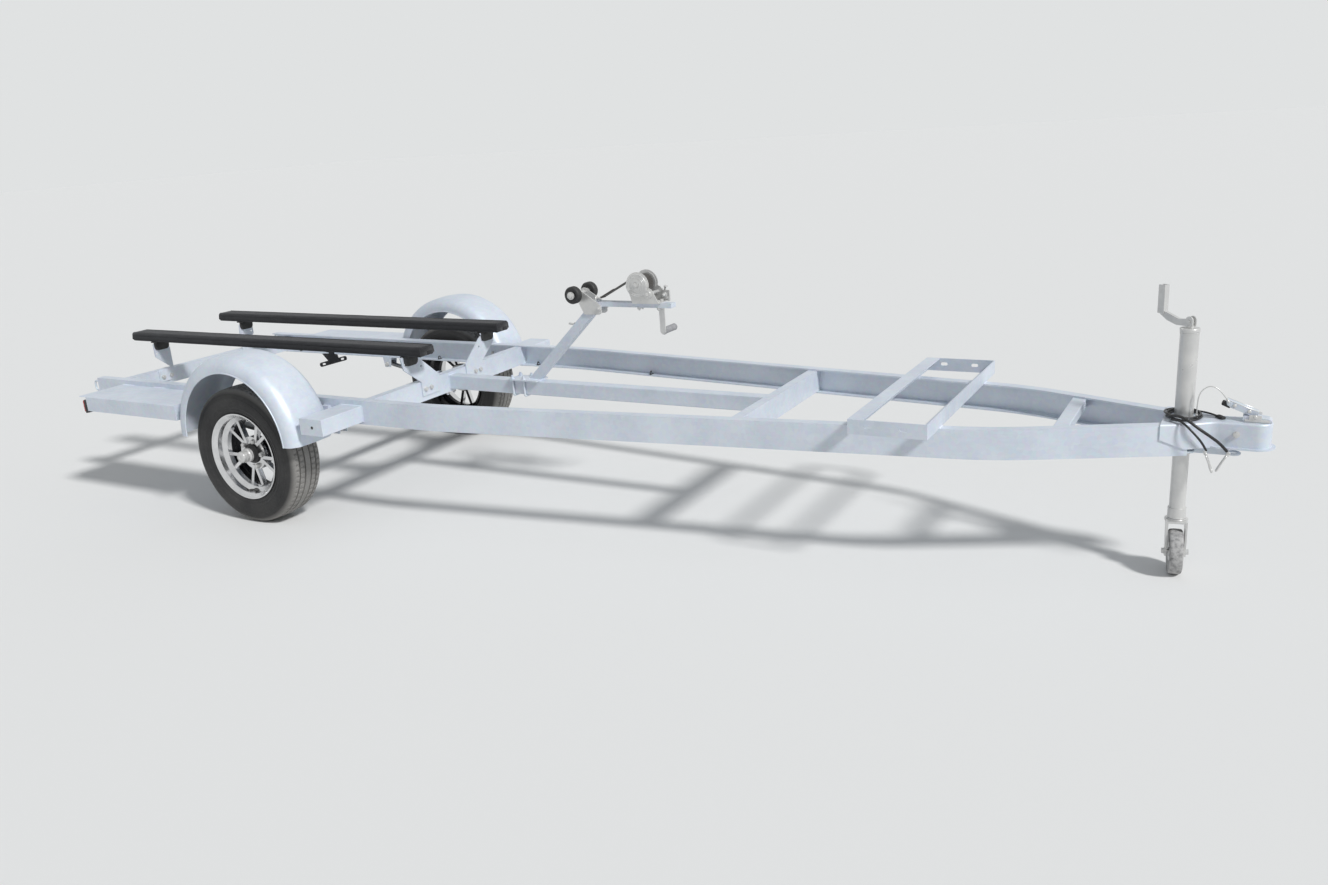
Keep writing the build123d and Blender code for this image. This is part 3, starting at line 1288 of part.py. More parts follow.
# Coupler: one stamping that spreads over the rails' ends at the back and holds the ball at the nose.
nose_centre = COUPLER_NOSE - COUPLER_HALF
with BuildPart() as coupler:
    wall_in = WELD_GAP
    wall_out = WELD_GAP + TONGUE_SKIRT_T
    with BuildSketch(Plane.XY.offset(COUPLER_BOTTOM)):
        with BuildLine():
            flare = FilletPolyline(
                (at(TONGUE_REAR), half_width(TONGUE_REAR) + wall_out),
                (at(COUPLER_FLARE), half_width(COUPLER_FLARE) + wall_out),
                (at(COUPLER_NECK), COUPLER_HALF),
                (at(nose_centre), COUPLER_HALF),
                radius=(30, 60),
            )
            ThreePointArc(flare @ 1, (at(COUPLER_NOSE), 0), (at(nose_centre), -COUPLER_HALF))
            other_flare = mirror(flare, about=Plane.XZ)
            Line(other_flare @ 0, flare @ 0)
        make_face()
    extrude(amount=COUPLER_TOP - COUPLER_BOTTOM)
    fillet(coupler.faces().sort_by(Axis.Z)[-1].edges().sort_by(Axis.X)[1:], radius=COUPLER_EDGE)
    lip = COUPLER_LIP - COUPLER_NOSE
    with BuildSketch(Plane.XY.offset(COUPLER_BOTTOM)):
        with BuildLine():
            Polyline(
                (at(COUPLER_NECK) - 14, -COUPLER_HALF),
                (at(COUPLER_NECK) + 12, -COUPLER_HALF - lip),
                (at(nose_centre), -COUPLER_HALF - lip),
                (at(nose_centre), COUPLER_HALF + lip),
                (at(COUPLER_NECK) + 12, COUPLER_HALF + lip),
                (at(COUPLER_NECK) - 14, COUPLER_HALF),
                close=True,
            )
        make_face()
        with Locations((at(nose_centre), 0)):
            Circle(COUPLER_HALF + lip)
    extrude(amount=COUPLER_LIP_T)
    with BuildSketch(Plane.XY.offset(COUPLER_BOTTOM - 1)):
        with BuildLine():
            inner_flare = FilletPolyline(
                (at(TONGUE_REAR) - 1, half_width(TONGUE_REAR - 1) + wall_in),
                (at(RAIL_FRONT) + 4, half_width(RAIL_FRONT + 4) + wall_in),
                (at(COUPLER_NECK) - 3, COUPLER_HALF - COUPLER_WALL),
                (at(TONGUE_TUBE_FRONT) + 3, COUPLER_HALF - COUPLER_WALL),
                radius=(25, 64),
            )
            other_inner = mirror(inner_flare, about=Plane.XZ)
            Line(inner_flare @ 1, other_inner @ 1)
            Line(inner_flare @ 0, other_inner @ 0)
        make_face()
    extrude(amount=RAIL_TOP + WELD_GAP - COUPLER_BOTTOM + 1, mode=Mode.SUBTRACT)
    with BuildSketch(Plane.XZ.offset(-2 * RAIL_FRONT_HALF)):
        with BuildLine():
            Polyline(
                (at(TONGUE_REAR) - 1, COUPLER_BOTTOM - 1),
                (at(TONGUE_REAR) + 74, COUPLER_BOTTOM - 1),
                (at(TONGUE_REAR) - 1, COUPLER_BOTTOM + 34),
                close=True,
            )
        make_face()
    extrude(amount=4 * RAIL_FRONT_HALF, mode=Mode.SUBTRACT)
    with Locations((at(JACK_X), 0, COUPLER_TOP)):
        Cylinder(JACK_TUBE_R + WELD_GAP, 40, mode=Mode.SUBTRACT)
    with Locations((at(nose_centre), 0, COUPLER_BOTTOM + 30)):
        Sphere(BALL_R, mode=Mode.SUBTRACT)
    with Locations((at(nose_centre), 0, COUPLER_BOTTOM + 15)):
        Cylinder(BALL_R, 32, mode=Mode.SUBTRACT)
coupler.part.label = "coupler_body"
export_step(coupler.part, "parts/coupler_body.step")

# Latch: a saddle on the nose and the slanting lever that locks it.
with BuildPart() as latch:
    latch_seat = COUPLER_TOP + WELD_GAP
    with BuildSketch(Plane.XZ.offset(-LATCH_HALF)):
        with BuildLine():
            Polyline(
                (at(LATCH_REAR), latch_seat),
                (at(LATCH_FRONT), latch_seat),
                (at(LATCH_FRONT), latch_seat + 6),
                (at(LATCH_FRONT) - 8, latch_seat + 12),
                (at(LATCH_REAR), latch_seat + 20),
                close=True,
            )
        make_face()
    extrude(amount=2 * LATCH_HALF)
    fillet(latch.edges().filter_by(Axis.Y).group_by(Axis.Z)[-1], radius=4)
    with BuildSketch(Plane.XZ.offset(-LEVER_HALF)):
        with BuildLine():
            Polyline(
                (at(LEVER_REAR), COUPLER_TOP + LEVER_RISE),
                (at(LEVER_REAR) + 3, COUPLER_TOP + LEVER_RISE - 17),
                (at(LEVER_REAR) + 16, COUPLER_TOP + LEVER_RISE - 26),
                (at(LEVER_FRONT) - 4, latch_seat + 12),
                (at(LEVER_FRONT), latch_seat + 32),
                close=True,
            )
        make_face()
    extrude(amount=2 * LEVER_HALF)
    with Locations(Location((at(LEVER_REAR) + 11, 0, COUPLER_TOP + LEVER_RISE - 12), (90, 0, 0))):
        Cylinder(5, 2 * LEVER_HALF + 10)
latch.part.label = "coupler_latch"
export_step(latch.part, "parts/coupler_latch.step")

# Jack.
with BuildPart() as jack_tube:
    with Locations((at(JACK_X), 0, (JACK_TUBE_BOTTOM + JACK_TUBE_TOP) / 2)):
        Cylinder(JACK_TUBE_R, JACK_TUBE_TOP - JACK_TUBE_BOTTOM)
    with Locations((at(JACK_X), 0, JACK_TUBE_TOP + JACK_CAP_T / 2)):
        Cylinder(JACK_CAP_R, JACK_CAP_T)
    fillet(jack_tube.faces().sort_by(Axis.Z)[-1].edges(), radius=3)
    with Locations((at(JACK_X), 0, (JACK_TUBE_BOTTOM + JACK_TUBE_TOP) / 2 - 10)):
        Cylinder(JACK_BORE_R, JACK_TUBE_TOP - JACK_TUBE_BOTTOM, mode=Mode.SUBTRACT)
jack_tube.part.label = "jack_tube"
export_step(jack_tube.part, "parts/jack_tube.step")

# The crank folds in the plane of its arm and is drawn round the jack's axis before it is turned.
with BuildPart() as jack_crank:
    with Locations((0, 0, 4)):
        Cylinder(12, 8)
    for side in (-1, 1):
        with BuildSketch(Plane.XZ.offset(-side * 10)):
            with Locations((2, 18.5)):
                SlotOverall(37, 26, rotation=90)
        extrude(amount=side * 4)
    with Locations(Location((2, 0, 20), (90, 0, 0))):
        Cylinder(5, 26)
    with BuildSketch(Plane.XZ.offset(-6)):
        with BuildLine():
            Polyline(
                (8, 5),
                (-48, 3),
                (-84, 14),
                (-JACK_CRANK_LENGTH - 12, 36),
                (-JACK_CRANK_LENGTH - 10, 48),
                (-84, 38),
                (-42, 24),
                (8, 28),
                close=True,
            )
        make_face()
    extrude(amount=12)
    with BuildSketch(Plane.XY.offset(34)):
        with Locations((-JACK_CRANK_LENGTH, 0)):
            Rectangle(24, 20)
            with Locations((-4, 0)):
                Rectangle(22, 14, mode=Mode.SUBTRACT)
    extrude(amount=JACK_GRIP_LENGTH)
jack_crank_place = Location(
    (at(JACK_X), 0, JACK_TUBE_TOP + JACK_CAP_T + WELD_GAP), (0, 0, JACK_CRANK_TURN)
)
jack_crank_part = jack_crank_place * jack_crank.part
jack_crank_part.label = "jack_crank"
export_step(jack_crank_part, "parts/jack_crank.step")

with BuildPart() as jack_leg:
    with Locations((at(JACK_X), 0, (JACK_SOCKET_BOTTOM + JACK_LEG_TOP) / 2)):
        Cylinder(JACK_LEG_R, JACK_LEG_TOP - JACK_SOCKET_BOTTOM)
    with Locations((at(JACK_X), 0, (JACK_SOCKET_BOTTOM + JACK_SOCKET_TOP) / 2)):
        Cylinder(JACK_SOCKET_R, JACK_SOCKET_TOP - JACK_SOCKET_BOTTOM)
    with Locations((at(JACK_X), 0, JACK_SOCKET_BOTTOM + 18)):
        Cylinder(CASTER_PIN_R + CASTER_PIN_FIT, 44, mode=Mode.SUBTRACT)
jack_leg.part.label = "jack_leg"
export_step(jack_leg.part, "parts/jack_leg.step")

with BuildPart() as yoke:
    arm_in = CASTER_WIDTH / 2 + YOKE_GAP
    with BuildSketch(Plane.XY.offset(YOKE_TOP)):
        Circle(arm_in + YOKE_T + 4)
        with Locations((-CASTER_TRAIL / 2, 0)):
            Rectangle(CASTER_TRAIL + 30, 2 * (arm_in + YOKE_T))
    extrude(amount=-YOKE_T)
    for side in (-1, 1):
        with BuildSketch(Plane.XZ.offset(-side * arm_in)):
            with BuildLine():
                Polyline(
                    (-CASTER_TRAIL - 16, YOKE_TOP - 1),
                    (12, YOKE_TOP - 1),
                    (-CASTER_TRAIL + 16, CASTER_R - 12),
                    (-CASTER_TRAIL, CASTER_R - 18),
                    (-CASTER_TRAIL - 16, CASTER_R - 12),
                    close=True,
                )
            make_face()
        extrude(amount=-side * YOKE_T)
    with Locations(Location((-CASTER_TRAIL, 0, CASTER_R), (90, 0, 0))):
        Cylinder(CASTER_AXLE_R, 2 * (arm_in + YOKE_T + 7))
    with Locations((0, 0, YOKE_TOP + 18)):
        Cylinder(CASTER_PIN_R, 38)
yoke_place = Location((at(JACK_X), 0, 0), (0, 0, CASTER_TURN))
yoke_part = yoke_place * yoke.part
yoke_part.label = "caster_yoke"
export_step(yoke_part, "parts/caster_yoke.step")

with BuildPart() as caster:
    with Locations(Location((-CASTER_TRAIL, 0, CASTER_R), (90, 0, 0))):
        Cylinder(CASTER_R, CASTER_WIDTH)
        chamfer(caster.edges(), length=7, length2=4)
        Cylinder(CASTER_AXLE_R + CASTER_PIN_FIT, CASTER_WIDTH + 2, mode=Mode.SUBTRACT)
caster_part = yoke_place * caster.part
caster_part.label = "jack_wheel"
export_step(caster_part, "parts/jack_wheel.step")

# Cords, hooks and the latch's wire.
DECK = COUPLER_TOP + WELD_GAP
with BuildPart() as coil:
    with BuildSketch(Plane.XY.offset(DECK)):
        with Locations((at(JACK_X), 0)):
            Ellipse(COIL_OUT_X, COIL_OUT_Y)
            Ellipse(COIL_IN_X, COIL_IN_Y, mode=Mode.SUBTRACT)
    extrude(amount=COIL_HEIGHT)
    chamfer(coil.faces().sort_by(Axis.Z)[-1].edges(), length=5)
coil.part.label = "harness_coil"
export_step(coil.part, "parts/harness_coil.step")

with BuildPart() as plug:
    with BuildSketch(Plane.XY.offset(DECK)):
        with Locations(Location((at(PLUG_X), PLUG_Y), PLUG_YAW)):
            RectangleRounded(PLUG_LENGTH, PLUG_WIDTH, 3)
    extrude(amount=PLUG_HEIGHT)
    chamfer(plug.faces().sort_by(Axis.Z)[-1].edges(), length=1.5)
plug.part.label = "harness_plug"
export_step(plug.part, "parts/harness_plug.step")

for cord_name, cord_route, cord_r in (
    ("harness_lead", HARNESS_ROUTE, HARNESS_R),
    ("safety_cable_thick", THICK_CABLE_ROUTE, THICK_CABLE_R),
    ("safety_cable_thin", THIN_CABLE_ROUTE, THIN_CABLE_R),
    ("latch_wire", LATCH_WIRE_ROUTE, LATCH_WIRE_R),
):
    export_step(tube_along(cord_name, cord_route, cord_r), f"parts/{cord_name}.step")

for hook_name, hook_cable, cable_r, hook_lean in (
    ("safety_hook_thick", THICK_CABLE_ROUTE, THICK_CABLE_R, 27.0),
    ("safety_hook_thin", THIN_CABLE_ROUTE, THIN_CABLE_R, -20.0),
):
    with BuildPart() as hook:
        with BuildLine():
            hook_line = FilletPolyline(
                (0, HOOK_WIDTH / 2, 0),
                (0, HOOK_WIDTH / 2, -HOOK_LENGTH),
                (0, -HOOK_WIDTH / 2, -HOOK_LENGTH),
                (0, -HOOK_WIDTH / 2, 0),
                radius=HOOK_WIDTH / 2 - 0.5,
                close=True,
            )
        with BuildSketch(Plane(origin=hook_line @ 0, z_dir=hook_line % 0)):
            Circle(HOOK_ROD_R)
        sweep(path=hook_line)
        with Locations((0, 0, FERRULE_LENGTH / 2 + 0.5)):
            Cylinder(cable_r + 1.7, FERRULE_LENGTH)
    end_station, end_y, end_z = hook_cable[-1]
    hook_part = Location((at(end_station), end_y, end_z - FERRULE_LENGTH), (0, hook_lean, 0)) * hook.part
    hook_part.label = hook_name
    export_step(hook_part, f"parts/{hook_name}.step")
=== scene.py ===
"""Looks of a galvanised bunk boat trailer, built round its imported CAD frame."""

from __future__ import annotations

import json
import logging
import math
from dataclasses import dataclass, field
from enum import Enum
from typing import Callable, Iterable, Sequence

import bmesh
import bpy
from mathutils import Matrix, Vector


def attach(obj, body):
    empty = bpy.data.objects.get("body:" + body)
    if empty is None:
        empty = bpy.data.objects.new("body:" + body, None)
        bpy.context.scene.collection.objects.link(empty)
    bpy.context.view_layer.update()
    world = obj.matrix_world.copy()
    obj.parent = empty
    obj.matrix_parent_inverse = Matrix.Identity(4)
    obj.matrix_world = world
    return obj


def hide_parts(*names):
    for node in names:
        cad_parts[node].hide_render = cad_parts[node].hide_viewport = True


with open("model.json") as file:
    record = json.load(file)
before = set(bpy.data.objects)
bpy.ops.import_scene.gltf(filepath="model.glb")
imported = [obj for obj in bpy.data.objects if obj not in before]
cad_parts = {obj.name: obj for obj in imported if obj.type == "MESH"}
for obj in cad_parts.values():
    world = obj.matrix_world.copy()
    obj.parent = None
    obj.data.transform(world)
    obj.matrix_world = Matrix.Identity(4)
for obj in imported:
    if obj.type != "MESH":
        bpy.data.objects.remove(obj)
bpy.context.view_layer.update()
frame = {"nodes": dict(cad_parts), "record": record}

LOG = logging.getLogger("boat_trailer")
PHOTO_WIDTH = 1328

AXLE_X = -1.2915
UP = (0, 0, 1)
DOWN = (0, 0, -1)
REARWARD = (-1, 0, 0)
FORWARD = (1, 0, 0)
FACES_AXIS = 0.9

Point = tuple[float, float, float]
Colour = tuple[float, float, float]
Profile = Sequence[tuple[float, float]]
Material = bpy.types.Material
Materials = dict[str, Material]
Socket = bpy.types.NodeSocket
Thing = bpy.types.Object
Face = bmesh.types.BMFace


def at(station: float) -> float:
    """X of a station counted forward from the axle."""
    return AXLE_X + station


def mirrored(profile: Profile) -> list[tuple[float, float]]:
    """A profile's mirror image across its zero height, run backwards."""
    return [(radius, -height) for radius, height in reversed(profile)]


def both_halves(half: Sequence[Point]) -> list[Point]:
    """A bend that starts with one half and ends with its mirror image across the middle plane."""
    return [*half, *((x, -y, z) for x, y, z in reversed(half[:-1]))]


def shifted(points: Sequence[Point], x: float, y: float, z: float) -> list[Point]:
    """Points moved along the three axes."""
    return [(x + ahead, y + across, z + up) for ahead, across, up in points]


def tilt(degrees: float) -> Point:
    """The Euler angles of a turn about Y."""
    return (0.0, math.radians(degrees), 0.0)


class Side(Enum):
    """The two sides of the trailer, with the sign of Y."""

    LEFT = 1
    RIGHT = -1

    @property
    def word(self) -> str:
        """The side's name as the nodes write it."""
        return self.name.lower()

    @property
    def outward(self) -> tuple[int, int, int]:
        """The way from the middle plane to this side."""
        return (0, self.value, 0)

    @property
    def inward(self) -> tuple[int, int, int]:
        """The way from this side to the middle plane."""
        return (0, -self.value, 0)

    def span(self, inner: float, outer: float) -> tuple[float, float]:
        """The lower and the higher Y of two distances from the middle plane."""
        low, high = sorted((self.value * inner, self.value * outer))
        return low, high


class NodeBench:
    """Builds one material's node tree, a node at a time."""

    MIX_FACTOR = 0
    MIX_COLOURS = (6, 7)
    MIX_RESULT = 2

    def __init__(self, name: str) -> None:
        """Start a material with a Principled shader.

        Args:
            name: The material's name.
        """
        self.material = bpy.data.materials.new(name)
        self.material.use_nodes = True
        self.tree = self.material.node_tree
        self.shader = self.tree.nodes["Principled BSDF"]

    def add(self, kind: str, **inputs: object) -> bpy.types.Node:
        """Add a node and set its inputs.

        Args:
            kind: The node's type name without the ShaderNode prefix.
            inputs: Input names, with underscores for spaces, and their values or source sockets.

        Returns:
            The new node.
        """
        node = self.tree.nodes.new(f"ShaderNode{kind}")
        for key, value in inputs.items():
            self.feed(node.inputs[key.replace("_", " ")], value)
        return node

    def feed(self, socket: Socket, value: object) -> None:
        """Link a socket to another, or set its value.

        Args:
            socket: The input socket.
            value: A source socket, a number or a colour.
        """
        if isinstance(value, Socket):
            self.tree.links.new(value, socket)
        elif isinstance(value, (tuple, list)) and len(value) == 3 and socket.type == "RGBA":
            socket.default_value = (*value, 1.0)
        else:
            socket.default_value = value

    def spot(self) -> Socket:
        """The place on the dressed object, on its own axes."""
        return self.add("TexCoord").outputs["Object"]

    def place(self, scale: Point = (1.0, 1.0, 1.0)) -> Socket:
        """Coordinates for a pattern, stretched by a scale.

        Args:
            scale: How much finer the pattern is along each axis.

        Returns:
            The vector socket.
        """
        return self.add("Mapping", Vector=self.spot(), Scale=scale).outputs["Vector"]

    def reach(self, middle: Point) -> Socket:
        """Distance from a wheel's axle line, which runs along Y through a middle."""
        centred = self.add("Mapping", Vector=self.spot(), Location=(-middle[0], 0.0, -middle[2]),
                           Scale=(1.0, 0.0, 1.0)).outputs["Vector"]
        length = self.add("VectorMath")
        length.operation = "LENGTH"
        self.tree.links.new(centred, length.inputs[0])
        return length.outputs["Value"]

    def outset(self) -> Socket:
        """Distance from the trailer's middle plane."""
        split = self.add("SeparateXYZ", Vector=self.spot())
        size = self.add("Math")
        size.operation = "ABSOLUTE"
        self.tree.links.new(split.outputs["Y"], size.inputs[0])
        return size.outputs[0]

    def noise(self, vector: Socket, scale: float, detail: float = 4.0,
              roughness: float = 0.55) -> Socket:
        """A noise pattern from 0 to 1."""
        node = self.add("TexNoise", Vector=vector, Scale=scale, Detail=detail, Roughness=roughness)
        return node.outputs["Fac"]

    def cells(self, vector: Socket, scale: float) -> bpy.types.Node:
        """A Voronoi cell pattern's node."""
        return self.add("TexVoronoi", Vector=vector, Scale=scale)

    def ramp(self, factor: Socket, *stops: tuple[float, Colour]) -> Socket:
        """Colours picked by a factor.

        Args:
            factor: The socket from 0 to 1.
            stops: Positions and their colours, in order.

        Returns:
            The colour socket.
        """
        node = self.add("ValToRGB", Fac=factor)
        elements = node.color_ramp.elements
        while len(elements) < len(stops):
            elements.new(0.5)
        for element, (position, colour) in zip(elements, stops):
            element.position = position
            element.color = (*colour, 1.0)
        return node.outputs["Color"]

    def remap(self, factor: Socket, low: float, high: float, start: float = 0.0,
              end: float = 1.0) -> Socket:
        """A factor's stretch from start to end, moved to low to high."""
        node = self.add("MapRange", Value=factor, From_Min=start, From_Max=end, To_Min=low, To_Max=high)
        return node.outputs["Result"]

    def mix(self, factor: object, first: object, second: object, blend: str = "MIX") -> Socket:
        """Two colours mixed by a factor.

        Args:
            factor: A socket or number from 0 to 1.
            first: The colour at 0.
            second: The colour at 1.
            blend: Blender's name of the blend.

        Returns:
            The colour socket.
        """
        node = self.tree.nodes.new("ShaderNodeMix")
        node.data_type = "RGBA"
        node.blend_type = blend
        self.feed(node.inputs[self.MIX_FACTOR], factor)
        for index, colour in zip(self.MIX_COLOURS, (first, second)):
            self.feed(node.inputs[index], colour)
        return node.outputs[self.MIX_RESULT]

    def bump(self, height: Socket, strength: float, distance: float,
             under: Socket | None = None) -> Socket:
        """A bumped normal.

        Args:
            height: The height pattern.
            strength: How strongly it shows, from 0 to 1.
            distance: The height of a full step in metres.
            under: The normal of a coarser bump below this one.

        Returns:
            The normal socket.
        """
        node = self.add("Bump", Height=height, Strength=strength, Distance=distance)
        if under is not None:
            self.tree.links.new(under, node.inputs["Normal"])
        return node.outputs["Normal"]

    def finish(self, colour: object, roughness: object, normal: Socket | None = None,
               metallic: float = 0.0) -> Material:
        """Feed the shader and hand over the material.

        Args:
            colour: The base colour or its socket.
            roughness: The roughness or its socket.
            normal: The bumped normal, if any.
            metallic: How metallic the surface is.

        Returns:
            The material.
        """
        self.feed(self.shader.inputs["Base Color"], colour)
        self.feed(self.shader.inputs["Roughness"], roughness)
        self.shader.inputs["Metallic"].default_value = metallic
        if normal is not None:
            self.tree.links.new(normal, self.shader.inputs["Normal"])
        return self.material


@dataclass(frozen=True)
class Galvanised:
    """Hot-dip galvanised steel: pale blue-grey, mottled, with faint spangle and runs."""

    name: str = "galvanised_steel"
    pale: Colour = (0.665, 0.715, 0.785)
    deep: Colour = (0.565, 0.615, 0.690)
    spangle_scale: float = 70.0
    metallic: float = 0.22

    def build(self) -> Material:
        """Make the material."""
        bench = NodeBench(self.name)
        place = bench.place()
        broad = bench.noise(place, 6.0, 5.0, 0.6)
        streaks = bench.noise(bench.place(scale=(4.0, 4.0, 26.0)), 5.0, 4.0)
        cells = bench.cells(place, self.spangle_scale)
        base = bench.ramp(broad, (0.30, self.deep), (0.70, self.pale))
        streaked = bench.mix(bench.remap(streaks, 0.0, 0.35, 0.45, 0.75), base, self.pale)
        spangled = bench.mix(0.10, streaked, cells.outputs["Color"], "SOFT_LIGHT")
        roughness = bench.remap(bench.noise(place, 30.0, 3.0), 0.38, 0.56, 0.3, 0.7)
        grain = bench.bump(bench.noise(place, 260.0, 3.0), 0.25, 0.0004)
        ripples = bench.bump(bench.noise(place, 40.0, 2.0), 0.18, 0.0012, grain)
        return bench.finish(spangled, roughness, ripples, self.metallic)


@dataclass(frozen=True)
class Clouded:
    """A plain surface: two tones in clouds, an uneven roughness and a fine grain.

    A noise is given by its scale, its detail and, where it isn't the usual one, its roughness.
    Without a noise for the smears, the surface is evenly rough.
    """

    name: str
    dark: Colour
    light: Colour
    tones: tuple[float, float]
    clouds: tuple[float, ...]
    grain: tuple[float, ...]
    grain_strength: float
    grain_height: float
    roughness: tuple[float, float]
    smears: tuple[float, ...] = ()
    smears_end: float = 0.7
    metallic: float = 0.0

    def build(self) -> Material:
        """Make the material."""
        bench = NodeBench(self.name)
        place = bench.place()
        dark_to, light_from = self.tones
        colour = bench.ramp(bench.noise(place, *self.clouds), (dark_to, self.dark), (light_from, self.light))
        rough = self.roughness[0]
        if self.smears:
            rough = bench.remap(bench.noise(place, *self.smears), *self.roughness, 0.3, self.smears_end)
        grain = bench.bump(bench.noise(place, *self.grain), self.grain_strength, self.grain_height)
        return bench.finish(colour, rough, grain, self.metallic)


@dataclass(frozen=True)
class PolishedAlloy:
    """Machined and polished wheel alloy, with painted shade, near black, on all of it that lies behind the
    spokes' face.
    """

    name: str = "polished_alloy"
    light: Colour = (0.80, 0.80, 0.80)
    dark: Colour = (0.60, 0.60, 0.61)
    # Painted shade: the near black of the rim behind the spokes' face, and the distance from the middle plane
    # where it ends.
    shade_colour: Colour = (0.020, 0.020, 0.022)
    shade_edge: float = 0.7085

    def build(self) -> Material:
        """Make the material."""
        bench = NodeBench(self.name)
        place = bench.place()
        colour = bench.ramp(bench.noise(place, 10.0, 4.0), (0.3, self.dark), (0.7, self.light))
        # Painted shade: 0 closer to the middle plane than the spokes' face, where the near black goes, and 1
        # further out.
        shade_mask = bench.remap(bench.outset(), 0.0, 1.0, self.shade_edge - 0.0015, self.shade_edge)
        shaded = bench.mix(shade_mask, self.shade_colour, colour)
        rough = bench.remap(bench.noise(place, 90.0, 4.0), 0.14, 0.28, 0.3, 0.7)
        return bench.finish(shaded, rough, bench.bump(bench.noise(place, 600.0, 2.0), 0.08, 0.0002), 1.0)


@dataclass(frozen=True)
class Carpet:
    """Black needle-punched carpet."""

    name: str = "bunk_carpet"
    light: Colour = (0.030, 0.031, 0.036)
    dark: Colour = (0.006, 0.006, 0.007)

    def build(self) -> Material:
        """Make the material."""
        bench = NodeBench(self.name)
        place = bench.place()
        fibres = bench.noise(place, 900.0, 4.0, 0.7)
        patches = bench.noise(place, 24.0, 4.0)
        colour = bench.mix(bench.remap(patches, 0.0, 0.5, 0.3, 0.8),
                           bench.ramp(fibres, (0.35, self.dark), (0.75, self.light)), self.light)
        nap = bench.bump(fibres, 0.8, 0.0012)
        bench.shader.inputs["Sheen Weight"].default_value = 0.15
        return bench.finish(colour, 0.95, bench.bump(bench.noise(place, 120.0, 3.0), 0.4, 0.001, nap))


@dataclass(frozen=True)
class RedLens:
    """Red signal lens with a moulded prism pattern."""

    name: str = "red_lens"
    colour: Colour = (0.62, 0.02, 0.02)
    deep: Colour = (0.42, 0.012, 0.012)

    def build(self) -> Material:
        """Make the material."""
        bench = NodeBench(self.name)
        place = bench.place()
        prisms = bench.cells(place, 210.0).outputs["Distance"]
        colour = bench.ramp(bench.noise(place, 60.0, 2.0), (0.3, self.deep), (0.7, self.colour))
        bench.shader.inputs["Coat Weight"].default_value = 0.6
        return bench.finish(colour, 0.18, bench.bump(prisms, 0.35, 0.0008))


@dataclass(frozen=True)
class TyreRubber:
    """Tyre rubber: near black, with dust in patches; the tread is a lighter grey that is partly wear and
    partly painted sunlight.
    """

    name: str = "tyre_rubber"
    dust: Colour = (0.036, 0.035, 0.034)
    dark: Colour = (0.011, 0.011, 0.012)
    # Painted sunlight, partly wear: the lighter grey of the tread's crown, and the radii over which it comes
    # in.
    wear_and_sunlight: Colour = (0.290, 0.280, 0.265)
    middle: Point = (AXLE_X, 0.0, 0.300)
    wear_and_light_from: float = 0.276
    wear_and_light_to: float = 0.2965

    def build(self) -> Material:
        """Make the material."""
        bench = NodeBench(self.name)
        place = bench.place()
        clouds = bench.noise(place, 7.0, 6.0, 0.6)
        specks = bench.noise(place, 150.0, 4.0, 0.7)
        colour = bench.ramp(clouds, (0.38, self.dark), (0.74, self.dust))
        speckled = bench.mix(bench.remap(specks, 0.0, 0.30, 0.55, 0.8), colour, self.dust)
        # Painted sunlight, partly wear: the crown of the tread is mixed to the lighter grey.
        crown = bench.remap(bench.reach(self.middle), 0.0, 1.0, self.wear_and_light_from, self.wear_and_light_to)
        scuffed_and_lit = bench.mix(bench.remap(specks, 0.55, 1.0, 0.2, 0.8), speckled, self.wear_and_sunlight)
        trodden_and_lit = bench.mix(crown, speckled, scuffed_and_lit)
        rough = bench.remap(specks, 0.50, 0.72, 0.3, 0.7)
        grain = bench.bump(bench.noise(place, 420.0, 3.0), 0.22, 0.0004)
        return bench.finish(trodden_and_lit, rough, grain)


@dataclass(frozen=True)
class Webbing:
    """Woven polyester strap: ribs across it and a slub along it."""

    name: str = "strap_webbing"
    light: Colour = (0.060, 0.052, 0.044)
    dark: Colour = (0.018, 0.016, 0.014)

    def build(self) -> Material:
        """Make the material."""
        bench = NodeBench(self.name)
        place = bench.place()
        ribs = bench.add("TexWave", Vector=place, Scale=95.0, Distortion=1.2, Detail=2.0)
        ribs.bands_direction = "Y"
        picks = bench.add("TexWave", Vector=place, Scale=160.0, Distortion=0.8, Detail=1.0)
        picks.bands_direction = "DIAGONAL"
        weave = bench.mix(0.5, ribs.outputs["Color"], picks.outputs["Color"], "MULTIPLY")
        fade = bench.noise(place, 26.0, 4.0)
        colour = bench.mix(bench.remap(fade, 0.1, 0.6, 0.3, 0.7),
                           bench.ramp(weave, (0.1, self.dark), (0.8, self.light)), self.light)
        bench.shader.inputs["Sheen Weight"].default_value = 0.2
        return bench.finish(colour, 0.82, bench.bump(weave, 0.5, 0.0007))


@dataclass(frozen=True)
class PaleFloor:
    """Plain pale floor that runs into the background."""

    name: str = "pale_floor"
    colour: Colour = (0.80, 0.80, 0.79)

    def build(self) -> Material:
        """Make the material."""
        bench = NodeBench(self.name)
        return bench.finish(self.colour, 0.9)


